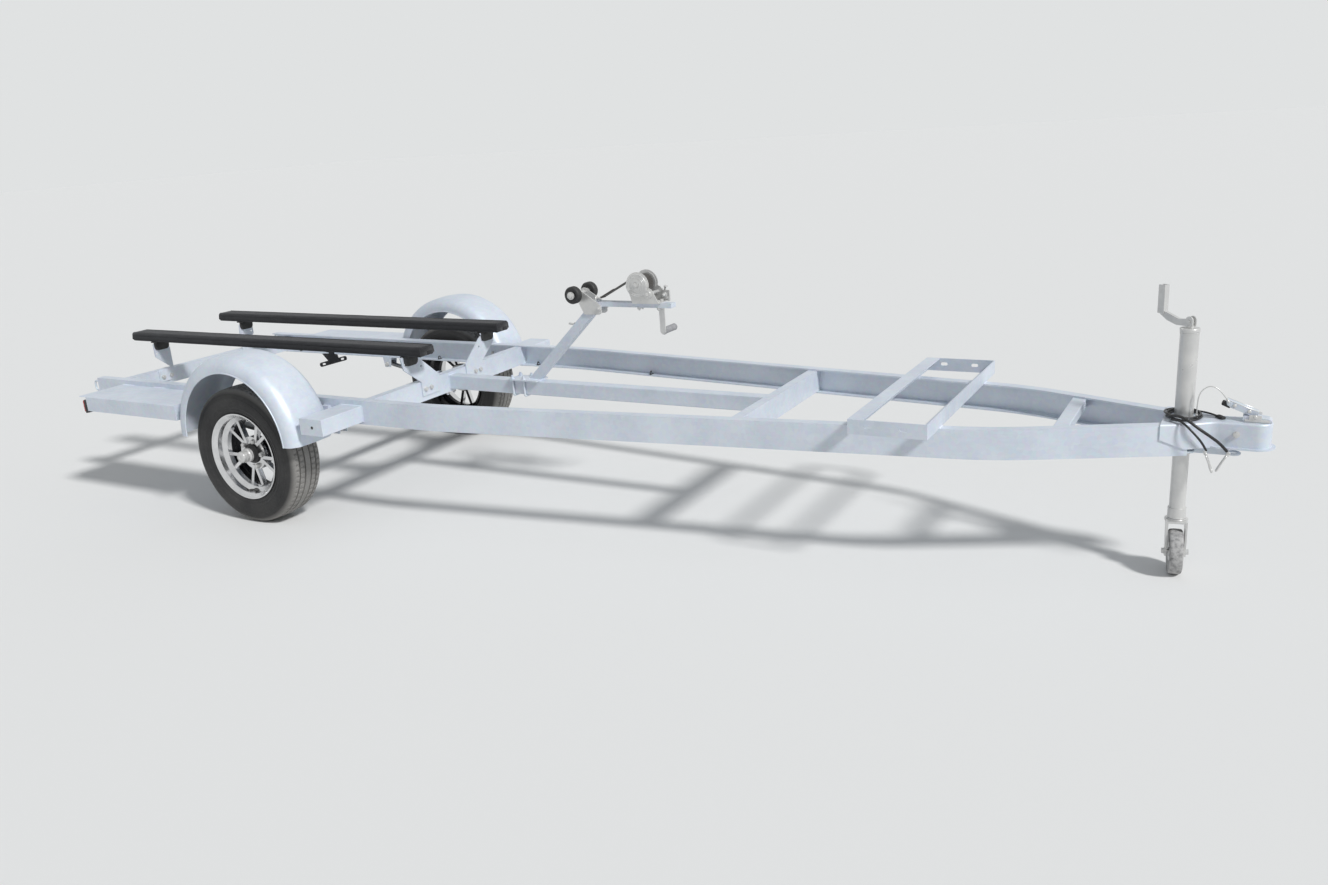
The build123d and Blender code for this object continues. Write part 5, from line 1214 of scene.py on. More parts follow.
@dataclass
class RoadWheel:
    """One road wheel: its tyre, hub cap, lug nuts and valve."""

    side: Side
    middle_y: float = 0.696
    axle_height: float = 0.300
    radius: float = 0.2996
    shoulder_r: float = 0.2962
    tread_half: float = 0.0640
    grooves: tuple[float, ...] = (0.0445, 0.0160, -0.0160, -0.0445)
    groove_half: float = 0.0034
    groove_depth: float = 0.0078
    steps_round: int = 144
    sidewall: tuple[tuple[float, float], ...] = (
        (0.1747, 0.0650), (0.1768, 0.0712), (0.1914, 0.0758), (0.1950, 0.0788), (0.2012, 0.0824),
        (0.2042, 0.0842), (0.2078, 0.0846), (0.2094, 0.0834), (0.2200, 0.0866), (0.2212, 0.0876),
        (0.2228, 0.0876), (0.2240, 0.0872), (0.2360, 0.0885), (0.2480, 0.0884), (0.2562, 0.0872),
        (0.2574, 0.0878), (0.2590, 0.0876), (0.2602, 0.0863), (0.2700, 0.0838), (0.2800, 0.0796),
        (0.2868, 0.0750), (0.2922, 0.0706),
    )
    lug_circle: float = 0.05715
    lug_count: int = 5
    lug_from: float = -0.005
    lug_tip: float = 0.0425
    lug_radius: float = 0.0107
    lug_end: Profile = ((0.0088, -0.0042), (0.0086, -0.0022), (0.0066, -0.0006), (0.0030, -0.0002))
    hub_section: Profile = (
        (0.0175, -0.0519), (0.0368, -0.0519), (0.0368, -0.0302), (0.0310, -0.0242), (0.0310, -0.0180),
        (0.0698, -0.0176), (0.0698, -0.0064), (0.0310, -0.0062), (0.0306, 0.0500), (0.0296, 0.0530),
        (0.0302, 0.0545), (0.0302, 0.0600), (0.0268, 0.0616), (0.0252, 0.0640), (0.0248, 0.0655),
        (0.0250, 0.0790), (0.0241, 0.0800), (0.0250, 0.0812), (0.0248, 0.0890), (0.0232, 0.0932),
        (0.0190, 0.0955), (0.0090, 0.0959), (0.0080, 0.0946), (0.0030, 0.0946),
    )
    ring_section: Profile = (
        (0.0312, 0.0262), (0.0440, 0.0262), (0.0440, 0.0300), (0.0420, 0.0345), (0.0350, 0.0380),
        (0.0335, 0.0485), (0.0312, 0.0500),
    )
    valve_section: Profile = (
        (0.0080, -0.004), (0.0078, 0.004), (0.0046, 0.008), (0.0042, 0.020), (0.0046, 0.0205),
        (0.0046, 0.0295), (0.0036, 0.0305),
    )
    valve_below: float = 0.1610
    valve_out: float = 0.0455
    valve_lean: float = 0.30

    @property
    def middle(self) -> Vector:
        """The wheel's middle."""
        return Vector((AXLE_X, self.side.value * self.middle_y, self.axle_height))

    @property
    def outward(self) -> Vector:
        """The way its outer face looks."""
        return Vector(self.side.outward)

    def crown(self, width: float) -> float:
        """The tread's radius at a distance from the middle plane."""
        return self.radius - (self.radius - self.shoulder_r) * (width / self.tread_half) ** 2

    def tyre_profile(self) -> list[tuple[float, float]]:
        """The tyre's section from bead to bead, with its four grooves."""
        tread = [(self.shoulder_r, self.tread_half)]
        for groove in self.grooves:
            top, low = groove + self.groove_half, groove - self.groove_half
            floor = self.crown(groove) - self.groove_depth
            tread += [(self.crown(top), top), (floor, top - 0.0010), (floor, low + 0.0010),
                      (self.crown(low), low)]
        tread.append((self.shoulder_r, -self.tread_half))
        return [*self.sidewall, *tread, *mirrored(self.sidewall)]

    def has_sipe(self, face: Face) -> bool:
        """Whether a face of the tyre, on its own axes, has a sipe: every second one of the ribs."""
        middle = face.calc_center_median()
        reach = math.hypot(middle.x, middle.y)
        turn = round((math.atan2(middle.y, middle.x) / math.tau * self.steps_round) - 0.5)
        on_rib = reach > self.shoulder_r - 0.0012 and abs(face.normal.z) < 0.3
        width = abs(middle.z)
        shift = 1 if width < 0.040 else 0
        return on_rib and width > 0.018 and (turn + shift) % 2 == 0

    def cut_sipes(self, part: Thing) -> None:
        """Sink a narrow slot into every second face of the ribs.

        Args:
            part: The tyre, still on its own axes.
        """
        pick_faces(part, self.has_sipe)
        bpy.ops.mesh.inset(thickness=0.0044, depth=-0.0035, use_individual=True)
        bpy.ops.object.mode_set(mode="OBJECT")

    def build(self, made: Materials) -> None:
        """Build the wheel's pieces."""
        body, word = f"wheel_{self.side.word}", self.side.word
        tyre = Workpiece(f"tyre_{word}_tread")
        part = tyre.turned(self.tyre_profile(), self.middle, self.outward, self.steps_round, closed=True)
        self.cut_sipes(part)
        tyre.hand_over(body, made["tyre_rubber"], [f"tyre_{word}"], 28.0)
        self.hub(made["zinc_steel"], body)
        self.black_trim(made["black_rubber"], body)

    def hub(self, zinc: Material, body: str) -> None:
        """Build the hub with its bearing cap and lug nuts."""
        piece = Workpiece(f"hub_{self.side.word}_cap")
        piece.turned(self.hub_section, self.middle, self.outward, 48)
        span = self.lug_tip - 0.003 - self.lug_from
        for count in range(self.lug_count):
            angle = math.tau * count / self.lug_count
            offset = Vector((math.cos(angle), 0.0, math.sin(angle))) * self.lug_circle
            foot = self.middle + offset
            deselect()
            bpy.ops.mesh.primitive_cylinder_add(
                vertices=6, radius=self.lug_radius, depth=span,
                location=foot + self.outward * (self.lug_from + span / 2), rotation=heading_of(self.outward))
            piece.bevel_caps(bpy.context.object, 0.0010, 1)
            piece.take()
            piece.turned([(radius, self.lug_tip + height) for radius, height in self.lug_end],
                         foot, self.outward, 20)
        piece.hand_over(body, zinc, [f"hub_{self.side.word}"])

    def black_trim(self, rubber: Material, body: str) -> None:
        """Build the black ring round the cap and the valve's stem."""
        piece = Workpiece(f"wheel_trim_{self.side.word}")
        piece.turned(self.ring_section, self.middle, self.outward, 40, closed=True)
        foot = self.middle + Vector((0.0, 0.0, -self.valve_below)) + self.outward * self.valve_out
        ahead = (self.outward + Vector((0.0, 0.0, self.valve_lean))).normalized()
        piece.turned(self.valve_section, foot, ahead, 18)
        piece.hand_over(body, rubber)


@dataclass
class Bunk:
    """A board wrapped in carpet, with its ends folded and the edges stapled beneath."""

    side: Side
    rear: float = at(-1.262)
    front: float = at(0.648)
    middle_y: float = 0.268
    half: float = 0.0470
    low: float = 0.6604
    high: float = 0.7038
    rounding: float = 0.0125
    end_rounding: float = 0.0050
    cuts: int = 46
    flap_width: float = 0.024
    flap_inset: float = 0.010
    flap_slack: float = 0.004
    flap_short: float = 0.012
    fold_y: float = 0.024
    fold_half: float = 0.0225
    fold_tilt: float = 9.0
    cloud_size: float = 0.09
    cloud_height: float = 0.0022
    cloud_middle: float = 0.85
    staple_pitch: float = 0.075
    staple_inset: float = 0.020
    staple_from: float = 0.04
    staple_skew: float = 9.0

    def build(self, made: Materials) -> None:
        """Build the wrapped board and its staples.

        Args:
            made: The finishes by slot.
        """
        word, y = self.side.word, self.side.value * self.middle_y
        piece = Workpiece(f"bunk_{word}_wrap")
        board = self.board(piece, y)
        self.ripple(board)
        for end_x, ahead in ((self.rear, -1), (self.front, 1)):
            self.fold(piece, end_x, ahead, y)
        for edge in (-1, 1):
            inner = y + edge * (self.half - self.flap_slack - self.flap_width)
            outer = y + edge * (self.half - self.flap_inset)
            piece.block((self.rear + self.flap_short, min(inner, outer), self.low - 0.0003),
                        (self.front - self.flap_short, max(inner, outer), self.low + 0.0022), 0.0009, 1)
        piece.hand_over("chassis", made["carpet"], [f"bunk_{word}"], 50.0)
        self.staples(word, y, made["zinc_steel"])

    def board(self, piece: Workpiece, y: float) -> Thing:
        """Shape the board: a block with round long edges, cut across at even stations."""
        deselect()
        size = Vector((self.front - self.rear, 2 * self.half, self.high - self.low))
        bpy.ops.mesh.primitive_cube_add(
            size=1.0, location=((self.front + self.rear) / 2, y, (self.high + self.low) / 2))
        part = bpy.context.object
        part.scale = size
        bpy.ops.object.transform_apply(location=True, rotation=False, scale=True)
        bpy.ops.object.mode_set(mode="EDIT")
        bpy.ops.mesh.select_mode(type="EDGE")
        for along, width, segments in ((True, self.rounding, 5), (False, self.end_rounding, 2)):
            bpy.ops.mesh.select_all(action="DESELECT")
            shape = bmesh.from_edit_mesh(part.data)
            for edge in shape.edges:
                run = (edge.verts[1].co - edge.verts[0].co).normalized()
                at_end = all(abs(abs(vert.co.x - (self.front + self.rear) / 2) - size.x / 2) < 1e-5
                             for vert in edge.verts)
                edge.select_set(abs(run.x) > 0.9 if along else at_end)
            bmesh.update_edit_mesh(part.data)
            bpy.ops.mesh.bevel(offset=width, segments=segments, affect="EDGES")
        for cut in range(1, self.cuts):
            bpy.ops.mesh.select_all(action="SELECT")
            bpy.ops.mesh.bisect(plane_co=(self.rear + size.x * cut / self.cuts, 0, 0), plane_no=(1, 0, 0))
        return piece.take()

    def ripple(self, board: Thing) -> None:
        """Let the carpet lie a little unevenly over the board."""
        clouds = bpy.data.textures.new(f"{board.name}_clouds", "CLOUDS")
        clouds.noise_scale = self.cloud_size
        lay = board.modifiers.new("uneven", "DISPLACE")
        lay.texture = clouds
        lay.texture_coords = "GLOBAL"
        lay.strength = self.cloud_height
        lay.mid_level = self.cloud_middle
        deselect()
        board.select_set(True)
        bpy.context.view_layer.objects.active = board
        bpy.ops.object.modifier_apply(modifier=lay.name)

    def fold(self, piece: Workpiece, end_x: float, ahead: int, y: float) -> None:
        """Fold the carpet over an end as on a parcel: two slanted flaps and a top one over them."""
        middle = (self.low + self.high) / 2
        for edge in (-1, 1):
            near, far = end_x - ahead * 0.0012, end_x + ahead * 0.0006
            flap_y = y + edge * self.fold_y
            piece.block((min(near, far), flap_y - self.fold_half, middle - 0.0165),
                        (max(near, far), flap_y + self.fold_half, middle + 0.0105), 0.0006, 1,
                        (edge * math.radians(self.fold_tilt), 0.0, 0.0))
        near, far = end_x - ahead * 0.0008, end_x + ahead * 0.0012
        piece.block((min(near, far), y - self.half * 0.78, middle - 0.0020),
                    (max(near, far), y + self.half * 0.78, self.high - 0.0060), 0.0006, 1)

    def staples(self, word: str, y: float, zinc: Material) -> None:
        """Drive staples through both lower flaps."""
        piece = Workpiece(f"bunk_{word}_staples")
        master = piece.block((-0.0004, -0.0055, -0.0006), (0.0004, 0.0055, 0.0004), 0.0002, 1)
        places = []
        count = int((self.front - self.rear - 2 * self.staple_from) / self.staple_pitch)
        for step in range(count + 1):
            x = self.rear + self.staple_from + step * self.staple_pitch
            for edge in (-1, 1):
                skew = math.radians(self.staple_skew * math.sin(step * 2.1 + edge))
                spot = (x, y + edge * (self.half - self.staple_inset), self.low - 0.0003)
                places.append(Matrix.Translation(spot) @ Matrix.Rotation(skew, 4, "Z"))
        piece.copies(master, places)
        piece.hand_over("chassis", zinc)


def rail_half(station: float) -> float:
    """Y of the rail's outer face behind its second bend, at a station counted from the axle."""
    return 0.5715 - max(0.0, station - 0.890) * 0.12074


@dataclass
class Winch:
    """The hand winch's strap, cover rings, pawl, grip and fasteners."""

    drum: Point = (at(1.583), 0.0, 0.940)
    pinion: Point = (at(1.629), 0.0, 0.903)
    drum_radius: float = 0.0246
    roll_radius: float = 0.0378
    layers: int = 4
    layer_shift: float = 0.0006
    layer_edge: float = 0.0009
    strap_half: float = 0.0245
    strap_thick: float = 0.0026
    strap_end: Point = (at(1.394), 0.0, 0.882)
    lap: tuple[float, float] = (0.002, 0.075)
    lap_rise: float = 0.0025
    seam_rows: int = 5
    seam_from: float = 0.028
    seam_pitch: float = 0.009
    seam_half: float = 0.0006
    arm_top: float = 0.865
    arm_bottom: float = 0.846
    base_top: float = 0.8693
    bolt_y: float = 0.0135
    bolts_below: tuple[float, float] = (1.570, 1.660)
    bolts_above: tuple[float, float] = (1.567, 1.660)
    eye_bend: tuple[Point, ...] = ((-0.034, -0.009, -0.001), (-0.034, -0.009, 0.012), (-0.034, 0.0, 0.020))
    snap_bend: tuple[Point, ...] = (
        (-0.002, -0.019, 0.0175), (-0.008, -0.019, 0.0150), (-0.016, -0.008, 0.0125),
        (-0.026, -0.004, 0.0110), (-0.040, -0.004, 0.0090), (-0.048, 0.000, 0.0085),
    )
    cover_face: float = 0.0490
    ring_radii: tuple[float, ...] = (0.0435, 0.0370, 0.0300)
    ring_section: Profile = (
        (-0.0022, -0.0004), (-0.0014, 0.0009), (0.0, 0.0014), (0.0014, 0.0009), (0.0022, -0.0004),
    )
    boss_section: Profile = (
        (0.0200, -0.0010), (0.0200, 0.0036), (0.0185, 0.0042), (0.0130, 0.0042), (0.0118, 0.0034),
    )
    pinion_ring: Profile = (
        (0.0135, -0.0004), (0.0146, 0.0008), (0.0160, 0.0011), (0.0174, 0.0004), (0.0178, -0.0004),
    )
    pawl_pivot: Point = (at(1.667), 0.045, 0.8980)
    pawl_pin: Profile = (
        (0.0090, -0.002), (0.0090, 0.0050), (0.0078, 0.0062), (0.0040, 0.0062), (0.0036, 0.0110),
        (0.0030, 0.0118),
    )
    stop_spring: Profile = ((0.0052, 0.0), (0.0060, 0.0006), (0.0052, 0.0012), (0.0046, 0.0006))
    pawl_face: float = 0.0360
    pawl_top: float = 0.909
    lever_pin: Profile = (
        (0.0098, -0.0006), (0.0098, 0.0036), (0.0084, 0.0048), (0.0046, 0.0048), (0.0042, 0.0170),
        (0.0032, 0.0180),
    )
    lever_spring: Profile = (
        (0.0044, 0.0), (0.0058, 0.0), (0.0066, 0.0007), (0.0058, 0.0014), (0.0044, 0.0014),
    )
    grip_place: Point = (at(1.629), 0.0681, 0.7350)
    grip_foot: Profile = (
        (0.0132, 0.0), (0.0150, 0.0006), (0.0156, 0.0025), (0.0150, 0.0050), (0.0140, 0.0062),
    )
    grip_ring: Profile = ((0.0140, 0.0), (0.0134, 0.0012), (0.0140, 0.0024))
    grip_rings: int = 9
    grip_from: float = 0.0120
    grip_pitch: float = 0.0080
    grip_end: Profile = ((0.0143, 0.0880), (0.0146, 0.0910), (0.0132, 0.0944), (0.0060, 0.0949))

    def build(self, made: Materials) -> None:
        """Build the winch's pieces."""
        self.strap(made["webbing"])
        self.hook(made["zinc_steel"])
        self.covers(made["zinc_steel"])
        self.pawl(made["zinc_steel"])
        self.grip(made["grey_grip"])
        self.fasteners(made["zinc_steel"])

    def wound_edge(self, first_shifted: int) -> list[tuple[float, float]]:
        """One edge of the wound strap, from the drum outwards.

        Args:
            first_shifted: 1 if the first layer is set back and each second one after it, or 0.

        Returns:
            Radii and distances from the strap's middle.
        """
        step = (self.roll_radius - self.drum_radius) / self.layers
        edge = [(self.drum_radius, self.strap_half)]
        for layer in range(self.layers):
            outer = self.drum_radius + step * (layer + 1)
            width = self.strap_half - self.layer_shift * ((layer + first_shifted) % 2)
            edge += [(outer - step * 0.25, width), (outer, width - self.layer_edge)]
        return edge

    def strap(self, webbing: Material) -> None:
        """Wind the strap on the drum and run it to its sewn loop at the hook."""
        piece = Workpiece("winch_strap_webbing")
        near_edge = [(radius, -width) for radius, width in self.wound_edge(0)]
        far_edge = self.wound_edge(1)[::-1]
        piece.turned(near_edge + far_edge, self.drum, Side.LEFT.outward, 56, closed=True)
        loop = Vector(self.strap_end)
        middle_r = self.roll_radius - self.strap_thick / 2
        gap = Vector(self.drum) - loop
        span = math.hypot(gap.x, gap.z)
        run = math.sqrt(span ** 2 - middle_r ** 2)
        rise = math.atan2(gap.z, gap.x) + math.asin(middle_r / span)
        self.band(piece, loop, rise, 0.0, run)
        self.band(piece, loop + Vector((0, 0, self.lap_rise)), rise, *self.lap)
        piece.bar(loop + Vector((-0.001, -self.strap_half + 0.006, 0.001)),
                  loop + Vector((-0.001, self.strap_half - 0.006, 0.001)), 0.0044, 20, 0.0012)
        along = Vector((math.cos(rise), 0.0, math.sin(rise)))
        row_half = Vector((self.seam_half, self.strap_half - 0.005, self.seam_half))
        for row in range(self.seam_rows):
            place = loop + along * (self.seam_from + row * self.seam_pitch) + Vector((0.0, 0.0, 0.0042))
            piece.slab(place, row_half, 0.0003, (0.0, -rise, 0.0))
        piece.hand_over("chassis", webbing, ["winch_strap"], 40.0)

    def band(self, piece: Workpiece, foot: Vector, rise: float, start: float, end: float) -> None:
        """Add a flat run of the strap with a raised hem along both edges.

        Args:
            piece: The piece that it joins.
            foot: The strap's end.
            rise: Its slope in radians.
            start: Where the run starts along it.
            end: Where it ends.
        """
        turn = (0.0, -rise, 0.0)
        middle = foot + Vector((math.cos(rise), 0.0, math.sin(rise))) * ((start + end) / 2)
        half = Vector(((end - start) / 2, self.strap_half - 0.0008, self.strap_thick / 2 - 0.0002))
        piece.slab(middle, half, 0.0006, turn)
        reach = Vector(((end - start) / 2 - 0.0005, 0.0016, self.strap_thick / 2 + 0.0002))
        for edge in (-1, 1):
            hem = middle + Vector((0.0, edge * (self.strap_half - 0.0018), 0.0))
            piece.slab(hem, reach, 0.0007, turn)

    def hook(self, zinc: Material) -> None:
        """Build the strap's snap hook and the eye on the arm that it is clipped to."""
        piece = Workpiece("winch_strap_hook")
        x, z = self.strap_end[0], self.arm_top
        piece.rod(shifted(both_halves(self.eye_bend), x, 0.0, z), 0.0032)
        piece.rod(shifted(both_halves(self.snap_bend), x, 0.0, z), 0.0026)
        piece.bar((x - 0.0005, -0.0215, z + 0.0180), (x - 0.0005, 0.0215, z + 0.0180), 0.0024, 16, 0.0006)
        piece.hand_over("chassis", zinc, smooth=50.0)

    def covers(self, zinc: Material) -> None:
        """Press the rings into the gear covers, set a boss on each cover and a ring round the pinion."""
        piece = Workpiece("winch_cover_rings")
        for side in Side:
            face = (self.drum[0], side.value * self.cover_face, self.drum[2])
            for ring in self.ring_radii:
                piece.turned([(ring + reach, height) for reach, height in self.ring_section],
                             face, side.outward, 56, closed=True)
            piece.turned(self.boss_section, face, side.outward, 40)
        face = (self.pinion[0], -self.cover_face, self.pinion[2])
        piece.turned(self.pinion_ring, face, Side.RIGHT.outward, 40, closed=True)
        piece.hand_over("chassis", zinc, smooth=50.0)

    def pawl(self, zinc: Material) -> None:
        """Build the ratchet's pawl with its pivot, spring and stop, at the far side."""
        piece = Workpiece("winch_pawl")
        x, y, z = self.pawl_pivot
        outward = Side.LEFT.outward
        piece.turned(self.pawl_pin, (x, y, z), outward, 28)
        piece.block((x - 0.0300, y - 0.0005, z - 0.0060), (x + 0.0060, y + 0.0045, z + 0.0060), 0.0018, 2,
                    tilt(-18.0))
        piece.block((x - 0.0120, y - 0.0010, z - 0.0290), (x + 0.0130, y + 0.0050, z - 0.0130), 0.0020, 2)
        piece.spring(self.stop_spring, 0.0, 0.0013, 5, (x + 0.004, y + 0.0050, z - 0.0220), outward, 16)
        piece.bar((x + 0.004, y, z - 0.0220), (x + 0.004, y + 0.0140, z - 0.0220), 0.0036, 16, 0.0009)
        self.pawl_lever(piece)
        piece.hand_over("chassis", zinc, smooth=40.0)

    def pawl_lever(self, piece: Workpiece) -> None:
        """Add the thumb lever above the pawl's block, and the pivot and spring on its inner face.

        Args:
            piece: The piece that they join.
        """
        x, face, top = self.pawl_pivot[0], self.pawl_face, self.pawl_top
        piece.block((x - 0.0060, face + 0.0006, top - 0.0040), (x + 0.0030, face + 0.0056, top + 0.0210),
                    0.0018, 2, tilt(16.0))
        piece.block((x - 0.0010, face - 0.0120, top + 0.0150), (x + 0.0110, face + 0.0056, top + 0.0190),
                    0.0016, 2, tilt(16.0))
        inward = Side.LEFT.inward
        middle = Vector((x - 0.0040, face, self.pinion[2] - 0.0120))
        piece.turned(self.lever_pin, middle, inward, 28)
        piece.spring(self.lever_spring, 0.0052, 0.0018, 6, middle, inward, 20)
        piece.block((x - 0.0150, face - 0.0036, self.base_top + 0.0030),
                    (x + 0.0120, face + 0.0006, self.base_top + 0.0120), 0.0014, 2, tilt(-10.0))

    def grip(self, grey: Material) -> None:
        """Sleeve the crank's grip and cap its end."""
        piece = Workpiece("winch_crank_grip")
        rings = []
        for ring in range(self.grip_rings):
            start = self.grip_from + ring * self.grip_pitch
            rings += [(radius, start + height) for radius, height in self.grip_ring]
        piece.turned([*self.grip_foot, *rings, *self.grip_end], self.grip_place, Side.LEFT.outward, 36)
        piece.hand_over("chassis", grey, smooth=40.0)

    def fasteners(self, zinc: Material) -> None:
        """Bolt the winch to its arm and nut its shafts."""
        seats = seats_at_both(Fixing.M10, self.drum[0], 0.0530, self.drum[2], 0.003)
        seats.append((Fixing.M8, (self.pinion[0], -0.0492, self.pinion[2]), Side.RIGHT.outward, 0.003))
        for stations, height, facing, stub in ((self.bolts_below, self.arm_bottom, DOWN, 0.006),
                                               (self.bolts_above, self.base_top, UP, 0.0)):
            seats += [(Fixing.M8, (at(station), side.value * self.bolt_y, height), facing, stub)
                      for station in stations for side in Side]
        BoltRow("winch_fasteners").build(zinc, seats)


@dataclass
class BowStop:
    """The bow stop's moulded rollers and the nuts on its pin."""

    station: float = at(1.288)
    height: float = 0.898
    inner_y: float = 0.045
    length: float = 0.032
    half_section: Profile = (
        (0.0086, 0.0004), (0.0140, 0.0004), (0.0150, 0.0022), (0.0210, 0.0026), (0.0245, 0.0006),
        (0.0305, 0.0006), (0.0338, 0.0024), (0.0358, 0.0062), (0.0358, 0.0098), (0.0342, 0.0108),
        (0.0342, 0.0122), (0.0358, 0.0132),
    )
    pin_end: float = 0.0832
    clamp: Point = (at(1.385), 0.0254, 0.838)

    def build(self, made: Materials) -> None:
        """Build both rollers and the fasteners."""
        for side, body in ((Side.LEFT, "bow_roller_l"), (Side.RIGHT, "bow_roller_r")):
            self.roller(side, body, made["black_rubber"])
        seats = seats_at_both(Fixing.M12, self.station, self.pin_end, self.height)
        seats += seats_at_both(Fixing.M10, *self.clamp, 0.003)
        BoltRow("bow_fasteners").build(made["zinc_steel"], seats)

    def roller(self, side: Side, body: str, rubber: Material) -> None:
        """Build one roller: a waisted crown with moulded grooves and a bored hub."""
        piece = Workpiece(f"bow_roller_{side.word}_moulding")
        far_half = [(radius, self.length - width) for radius, width in reversed(self.half_section)]
        piece.turned([*self.half_section, *far_half],
                     (self.station, side.value * self.inner_y, self.height), side.outward, 48, closed=True)
        piece.hand_over(body, rubber, [f"bow_roller_{side.word}"], 40.0)


@dataclass
class TailLight:
    """One tail light: a black housing, a ribbed red lens that wraps its outer end, and two screws."""

    side: Side
    front: float = at(-0.9873)
    depth: float = 0.032
    inner_y: float = 0.6937
    outer_y: float = 0.8013
    low: float = 0.4287
    high: float = 0.4903
    split: float = 0.0135
    rib_count: int = 11
    rib_from: float = 0.012
    rib_pitch: float = 0.0082
    rib_width: float = 0.0030
    rib_margin: float = 0.008
    screw_margin: float = 0.0075
    screw: Profile = ((0.0033, -0.0030), (0.0033, 0.0), (0.0026, 0.0008), (0.0012, 0.0008), (0.0010, 0.0001))

    def build(self, made: Materials) -> None:
        """Build the housing, the lens and the screws.

        Args:
            made: The finishes by slot.
        """
        word, side = self.side.word, self.side
        middle = (self.low + self.high) / 2
        seam = self.front - self.split
        housing = Workpiece(f"tail_light_{word}_housing")
        self.box(housing, seam - 0.0020, self.front - 0.0002, 0.0, 0.0060)
        self.box(housing, seam - 0.0034, seam + 0.0012, -0.0008, 0.0060, 0.0)
        housing.hand_over("chassis", made["black_rubber"])
        lens = Workpiece(f"tail_light_{word}_lens")
        rear = self.front - self.depth + 0.0002
        self.box(lens, rear, seam - 0.0024, 0.0022, 0.0055)
        for rib in range(self.rib_count):
            y = self.inner_y + self.rib_from + rib * self.rib_pitch
            low, high = side.span(y, y + self.rib_width)
            lens.block((rear - 0.0001, low, self.low + self.rib_margin),
                       (rear + 0.0016, high, self.high - self.rib_margin), 0.0009, 1)
        low, high = side.span(self.inner_y + 0.003, self.outer_y - 0.003)
        lens.block((rear + 0.0010, low, middle - 0.0015), (rear + 0.0022, high, middle + 0.0015), 0.0005, 1)
        lens.hand_over("chassis", made["red_lens"], [f"tail_light_{word}"])
        screws = Workpiece(f"tail_light_{word}_screws")
        for y in (self.inner_y + self.screw_margin, self.outer_y - self.screw_margin):
            screws.turned(self.screw, (rear + 0.0006, side.value * y, middle), REARWARD, 20)
        screws.hand_over("chassis", made["zinc_steel"])

    def box(self, piece: Workpiece, rear: float, front: float, shrink: float, rim: float,
            grow: float = 0.0) -> None:
        """Add a round-cornered box over the light's face.

        Args:
            piece: The piece that it joins.
            rear: Its rear X.
            front: Its front X.
            shrink: How much smaller than the light it is all round.
            rim: The rounding of its corners.
            grow: How much taller it is.
        """
        low_y, high_y = self.side.span(self.inner_y + shrink, self.outer_y - shrink)
        width = min(rim, (front - rear) * 0.42)
        piece.block((rear, low_y, self.low + shrink - grow), (front, high_y, self.high - shrink + grow),
                    width, 3)


@dataclass
class CouplerTrim:
    """The latch's side flaps, pins and rubber, and the coupler's bolts."""

    deck: float = 0.5358
    flap_y: float = 0.0232
    flap_half: float = 0.0022
    pins: tuple[Point, ...] = ((3.782, 0.0290, 0.0185), (3.764, 0.0205, 0.0335), (3.722, 0.0190, 0.0490))
    pin_head: Profile = ((0.0060, -0.0004), (0.0060, 0.0014), (0.0050, 0.0026), (0.0030, 0.0032))
    rim_y: float = 0.0138
    rim_middle: tuple[float, float] = (3.7435, 0.0496)
    rim_half: Point = (0.0480, 0.0014, 0.0014)
    rim_slope: float = math.atan2(0.0347, 0.0930)
    boot_tilt: float = 24.0
    bolt: Point = (at(3.734), 0.0436, 0.499)

    def build(self, made: Materials) -> None:
        """Build the trim."""
        zinc = made["zinc_steel"]
        self.flaps(zinc)
        rubber = Workpiece("latch_lever_boot")
        rubber.block((at(3.684), -0.0125, self.deck + 0.0420), (at(3.712), 0.0125, self.deck + 0.0560),
                     0.0040, 3, tilt(self.boot_tilt))
        rubber.block((at(3.690), -0.0145, self.deck + 0.0475), (at(3.700), 0.0145, self.deck + 0.0530),
                     0.0020, 2, tilt(self.boot_tilt))
        rubber.hand_over("chassis", made["black_rubber"])
        BoltRow("coupler_bolts").build(zinc, seats_at_both(Fixing.M10, *self.bolt))

    def flaps(self, zinc: Material) -> None:
        """Build the latch's flaps at both sides, the pins through them and the lever's rims."""
        piece = Workpiece("latch_flaps")
        for side in Side:
            low, high = side.span(self.flap_y - self.flap_half, self.flap_y + self.flap_half)
            piece.block((at(3.752), low, self.deck + 0.0002), (at(3.822), high, self.deck + 0.0098), 0.0018)
            piece.block((at(3.764), low, self.deck + 0.0060), (at(3.800), high, self.deck + 0.0240), 0.0020)
        for station, reach, height in self.pins:
            x, z = at(station), self.deck + height
            piece.bar((x, -reach, z), (x, reach, z), 0.0042, 20, 0.0010)
            for side in Side:
                piece.turned(self.pin_head, (x, side.value * (reach - 0.0022), z), side.outward, 20)
        station, height = self.rim_middle
        for side in Side:
            middle = Vector((at(station), side.value * self.rim_y, self.deck + height))
            piece.slab(middle, Vector(self.rim_half), 0.0008, (0.0, self.rim_slope, 0.0))
        piece.hand_over("chassis", zinc, smooth=40.0)


